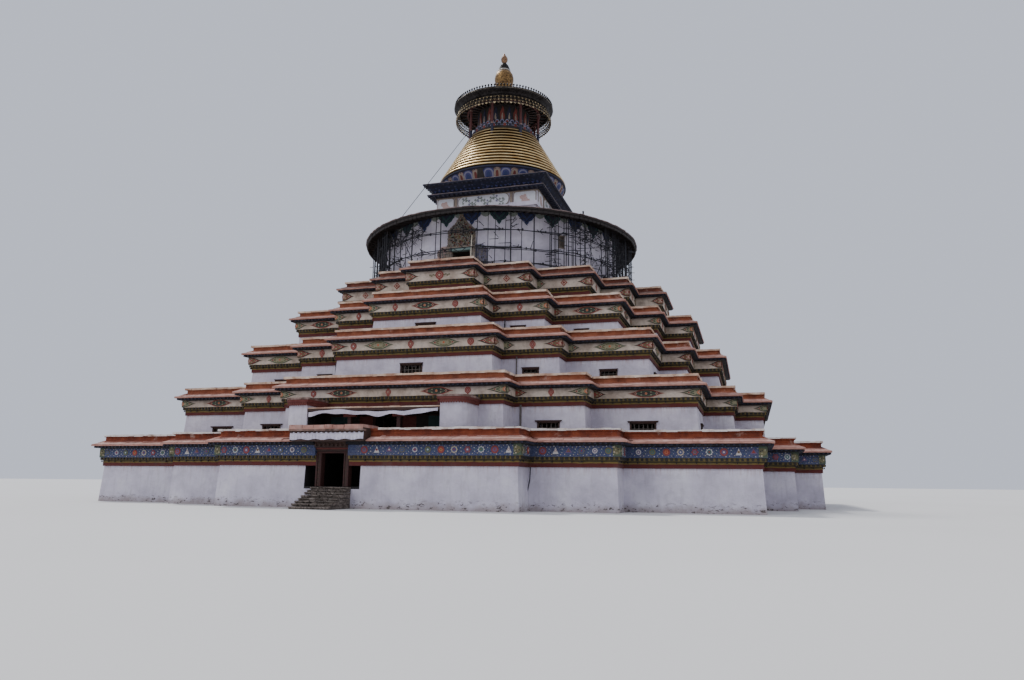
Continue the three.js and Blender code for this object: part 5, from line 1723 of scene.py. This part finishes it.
def parasol_canopy():
    """Dark parasol: thin bright rim over a hollow moulding, ribbed ceiling, low crown, crest of knobs."""
    bm = bmesh.new()
    dark, rib, bright = range(3)
    radius, rim, ceiling, high, lip = PARASOL_RADIUS, PARASOL_RIM, PARASOL_CEILING, PARASOL_HIGH, PARASOL_LIP
    turned(bm, [(0, ceiling), (lip - 0.06, ceiling), (lip, ceiling + 0.03), (lip + 0.04, ceiling + 0.12),
                (lip + 0.12, ceiling + 0.22), (radius - 0.1, rim - 0.04), (radius - 0.05, rim + 0.02),
                (radius - 0.05, high - 0.04), (radius - 0.1, high - 0.01), (3.4, high + 0.2),
                (2.6, high + 0.35), (1.9, high + 0.52), (1.3, PARASOL_CROWN), (0, PARASOL_CROWN)], 120, dark)
    hoop(bm, radius - 0.04, high - 0.05, 0.04, 6, 120, bright)
    hoop(bm, radius - 0.07, high + 0.05, 0.03, 5, 120, dark)
    knobs, ribs = 100, 36
    for i in range(knobs):
        at = round_spot(radius - 0.12, i * 2 * math.pi / knobs, high)
        pole(bm, at, at + Vector((0, 0, 0.2)), 0.045, 5, dark)
        bead(bm, at + Vector((0, 0, 0.28)), 0.095, dark, (1, 1, 1.15))
    for i in range(ribs):
        angle, under = i * 2 * math.pi / ribs, ceiling - 0.05
        pole(bm, round_spot(2.45, angle, under), round_spot(lip - 0.2, angle, under), 0.05, 5, rib)
    return piece("parasol_canopy", bm, [iron, dark_timber, edge_iron], 40, ["parasol"])


def net():
    """Gilt net hung from the parasol's lip: two tiers of little arches over a row of leaves."""
    bm = bmesh.new()
    dull, bright, dark = range(3)
    units = 76
    step = 2 * math.pi / units
    (top_radius, top), (middle_radius, middle), (foot_radius, foot) = NET
    rows = [(top_radius, top - 0.02), (middle_radius, middle), (foot_radius, foot + 0.12)]
    for radius, z in rows:
        hoop(bm, radius, z - 0.03, 0.045, 5, units, dark)
    leaf = [(0.16, 0.05), (0.13, -0.06), (0.0, -0.15), (-0.13, -0.06), (-0.16, 0.05)]
    skirt = Round(foot_radius)
    for i in range(units):
        angle = i * step
        for (upper_radius, upper), (lower_radius, lower) in zip(rows, rows[1:]):
            spring = lower + (upper - lower) * 0.42
            at = lower_radius + (upper_radius - lower_radius) * 0.42
            crown = round_spot(upper_radius, angle + step / 2, upper - 0.05)
            pole(bm, round_spot(lower_radius, angle, lower), round_spot(at, angle, spring), 0.04, 4, dark)
            for side in (0, 1):
                pole(bm, round_spot(at, angle + side * step, spring), crown, 0.035, 4, dull)
            bead(bm, round_spot(at + 0.02, angle + step / 2, spring - 0.02), 0.075, bright, (1, 1, 1.2))
        slot = bright if i % 2 else dull
        badge(bm, skirt, (angle + step / 2) * foot_radius, foot + 0.06, leaf, (-0.03, 0.03), slot)
    finishes = [net_gilt, pale_gilt, iron]
    return piece("parasol_net_filigree", bm, finishes, 50, ["parasol_net"])


def finial():
    """Gilt vase on a low foot, dark ribbed collar with a silvery edge, and a bud with a pointed tip."""
    bm = bmesh.new()
    gold, dark, silvery, bud = range(4)
    foot = PARASOL_CROWN + 0.001
    for steps, slot, profile in (
            (48, gold, ((0, 0), (1.13, 0), (1.12, 0.1), (0.98, 0.34), (0.6, 0.7), (0.44, 0.95), (0.5, 1.1),
                        (0.7, 1.3), (0.76, 1.8), (0.86, 2.15), (0.91, 2.45), (0.9, 2.7), (0.82, 3.02),
                        (0.7, 3.2), (0.55, 3.32), (0, 3.34))),
            (48, silvery, ((0, 3.3), (0.58, 3.31), (0.63, 3.37), (0.61, 3.46), (0, 3.48))),
            (48, dark, ((0, 3.44), (0.57, 3.46), (0.52, 3.7), (0.4, 3.95), (0.35, 4.05), (0.22, 4.22),
                        (0, 4.24))),
            (40, bud, ((0, 4.2), (0.18, 4.22), (0.17, 4.3), (0.29, 4.45), (0.33, 4.64), (0.29, 4.84),
                       (0.2, 4.98), (0.1, 5.14), (0.05, 5.28), (0, 5.34)))):
        turned(bm, [(radius, foot + z) for radius, z in profile], steps, slot)
    ribs = 16
    for i in range(ribs):
        angle = i * 2 * math.pi / ribs
        pole(bm, round_spot(0.56, angle, foot + 3.48), round_spot(0.36, angle, foot + 4.0), 0.035, 5, dark)
    for radius, z in ((0.48, 1.02), (0.79, 1.95), (0.64, 3.24)):
        hoop(bm, radius, foot + z, 0.035, 6, 40, bud)
    return piece("finial_gilding", bm, [old_gilt, iron, silver, bud_gilt], 35, ["finial"])


def dress_spire():
    for build in (spire_base, rings, neck, posts, parasol_canopy, net, finial):
        build()
    for name, finish in (("spire_base", painted["navy"]), ("spire_rings", gilt),
                         ("spire_neck", painted["navy"]), ("parasol", iron),
                         ("parasol_posts", painted["dark_red"]), ("parasol_net", old_gilt),
                         ("finial", old_gilt), ("spire_stay", iron)):
        dress(name, finish)


# Stage

def stage():
    """Pale floor, soft studio light and the camera at the photograph's viewing angle."""
    bm = bmesh.new()
    bmesh.ops.create_grid(bm, x_segments=1, y_segments=1, size=400)
    mesh = bpy.data.meshes.new("floor")
    bm.to_mesh(mesh)
    bm.free()
    ground = Finish("pale_floor", 0.95)
    mesh.materials.append(ground.coat(ground.mix(ground.noise(0.05, 2), "c9c7c4", "d2d0cd")))
    place_in_scene("floor", mesh)

    world = bpy.data.worlds.new("studio")
    bpy.context.scene.world = world
    world.use_nodes = True
    backdrop = world.node_tree.nodes["Background"]
    backdrop.inputs["Color"].default_value = tone("d9dff0")
    backdrop.inputs["Strength"].default_value = 0.95

    for name, bearing, height, power, spread in (
            ("key_light", -38, 42, 0.75, 30), ("fill_light", 50, 25, 0.25, 60),
            ("back_light", -125, 52, 2.6, 10)):
        lamp = bpy.data.lights.new(name, "SUN")
        lamp.energy = power
        lamp.angle = math.radians(spread)
        place_in_scene(name, lamp).rotation_euler = (math.radians(90 - height), 0, math.radians(bearing))

    optics = bpy.data.cameras.new("camera")
    optics.sensor_width = SENSOR
    optics.lens = SENSOR * FOCAL_PIXELS / PHOTO_WIDTH
    optics.clip_end = 2000
    camera = place_in_scene("camera", optics)
    camera.location = Vector(CAMERA_PLACE) * MODEL
    yaw, pitch, roll = (math.radians(angle) for angle in CAMERA_ANGLES)
    look = (Matrix.Rotation(-yaw, 4, "Z") @ Matrix.Rotation(math.pi / 2 + pitch, 4, "X")
            @ Matrix.Rotation(roll, 4, "Z"))
    camera.rotation_euler = look.to_euler()
    bpy.context.scene.camera = camera


stage()
dress_storeys()
dress_entrance()
dress_drum()
dress_block()
dress_spire()
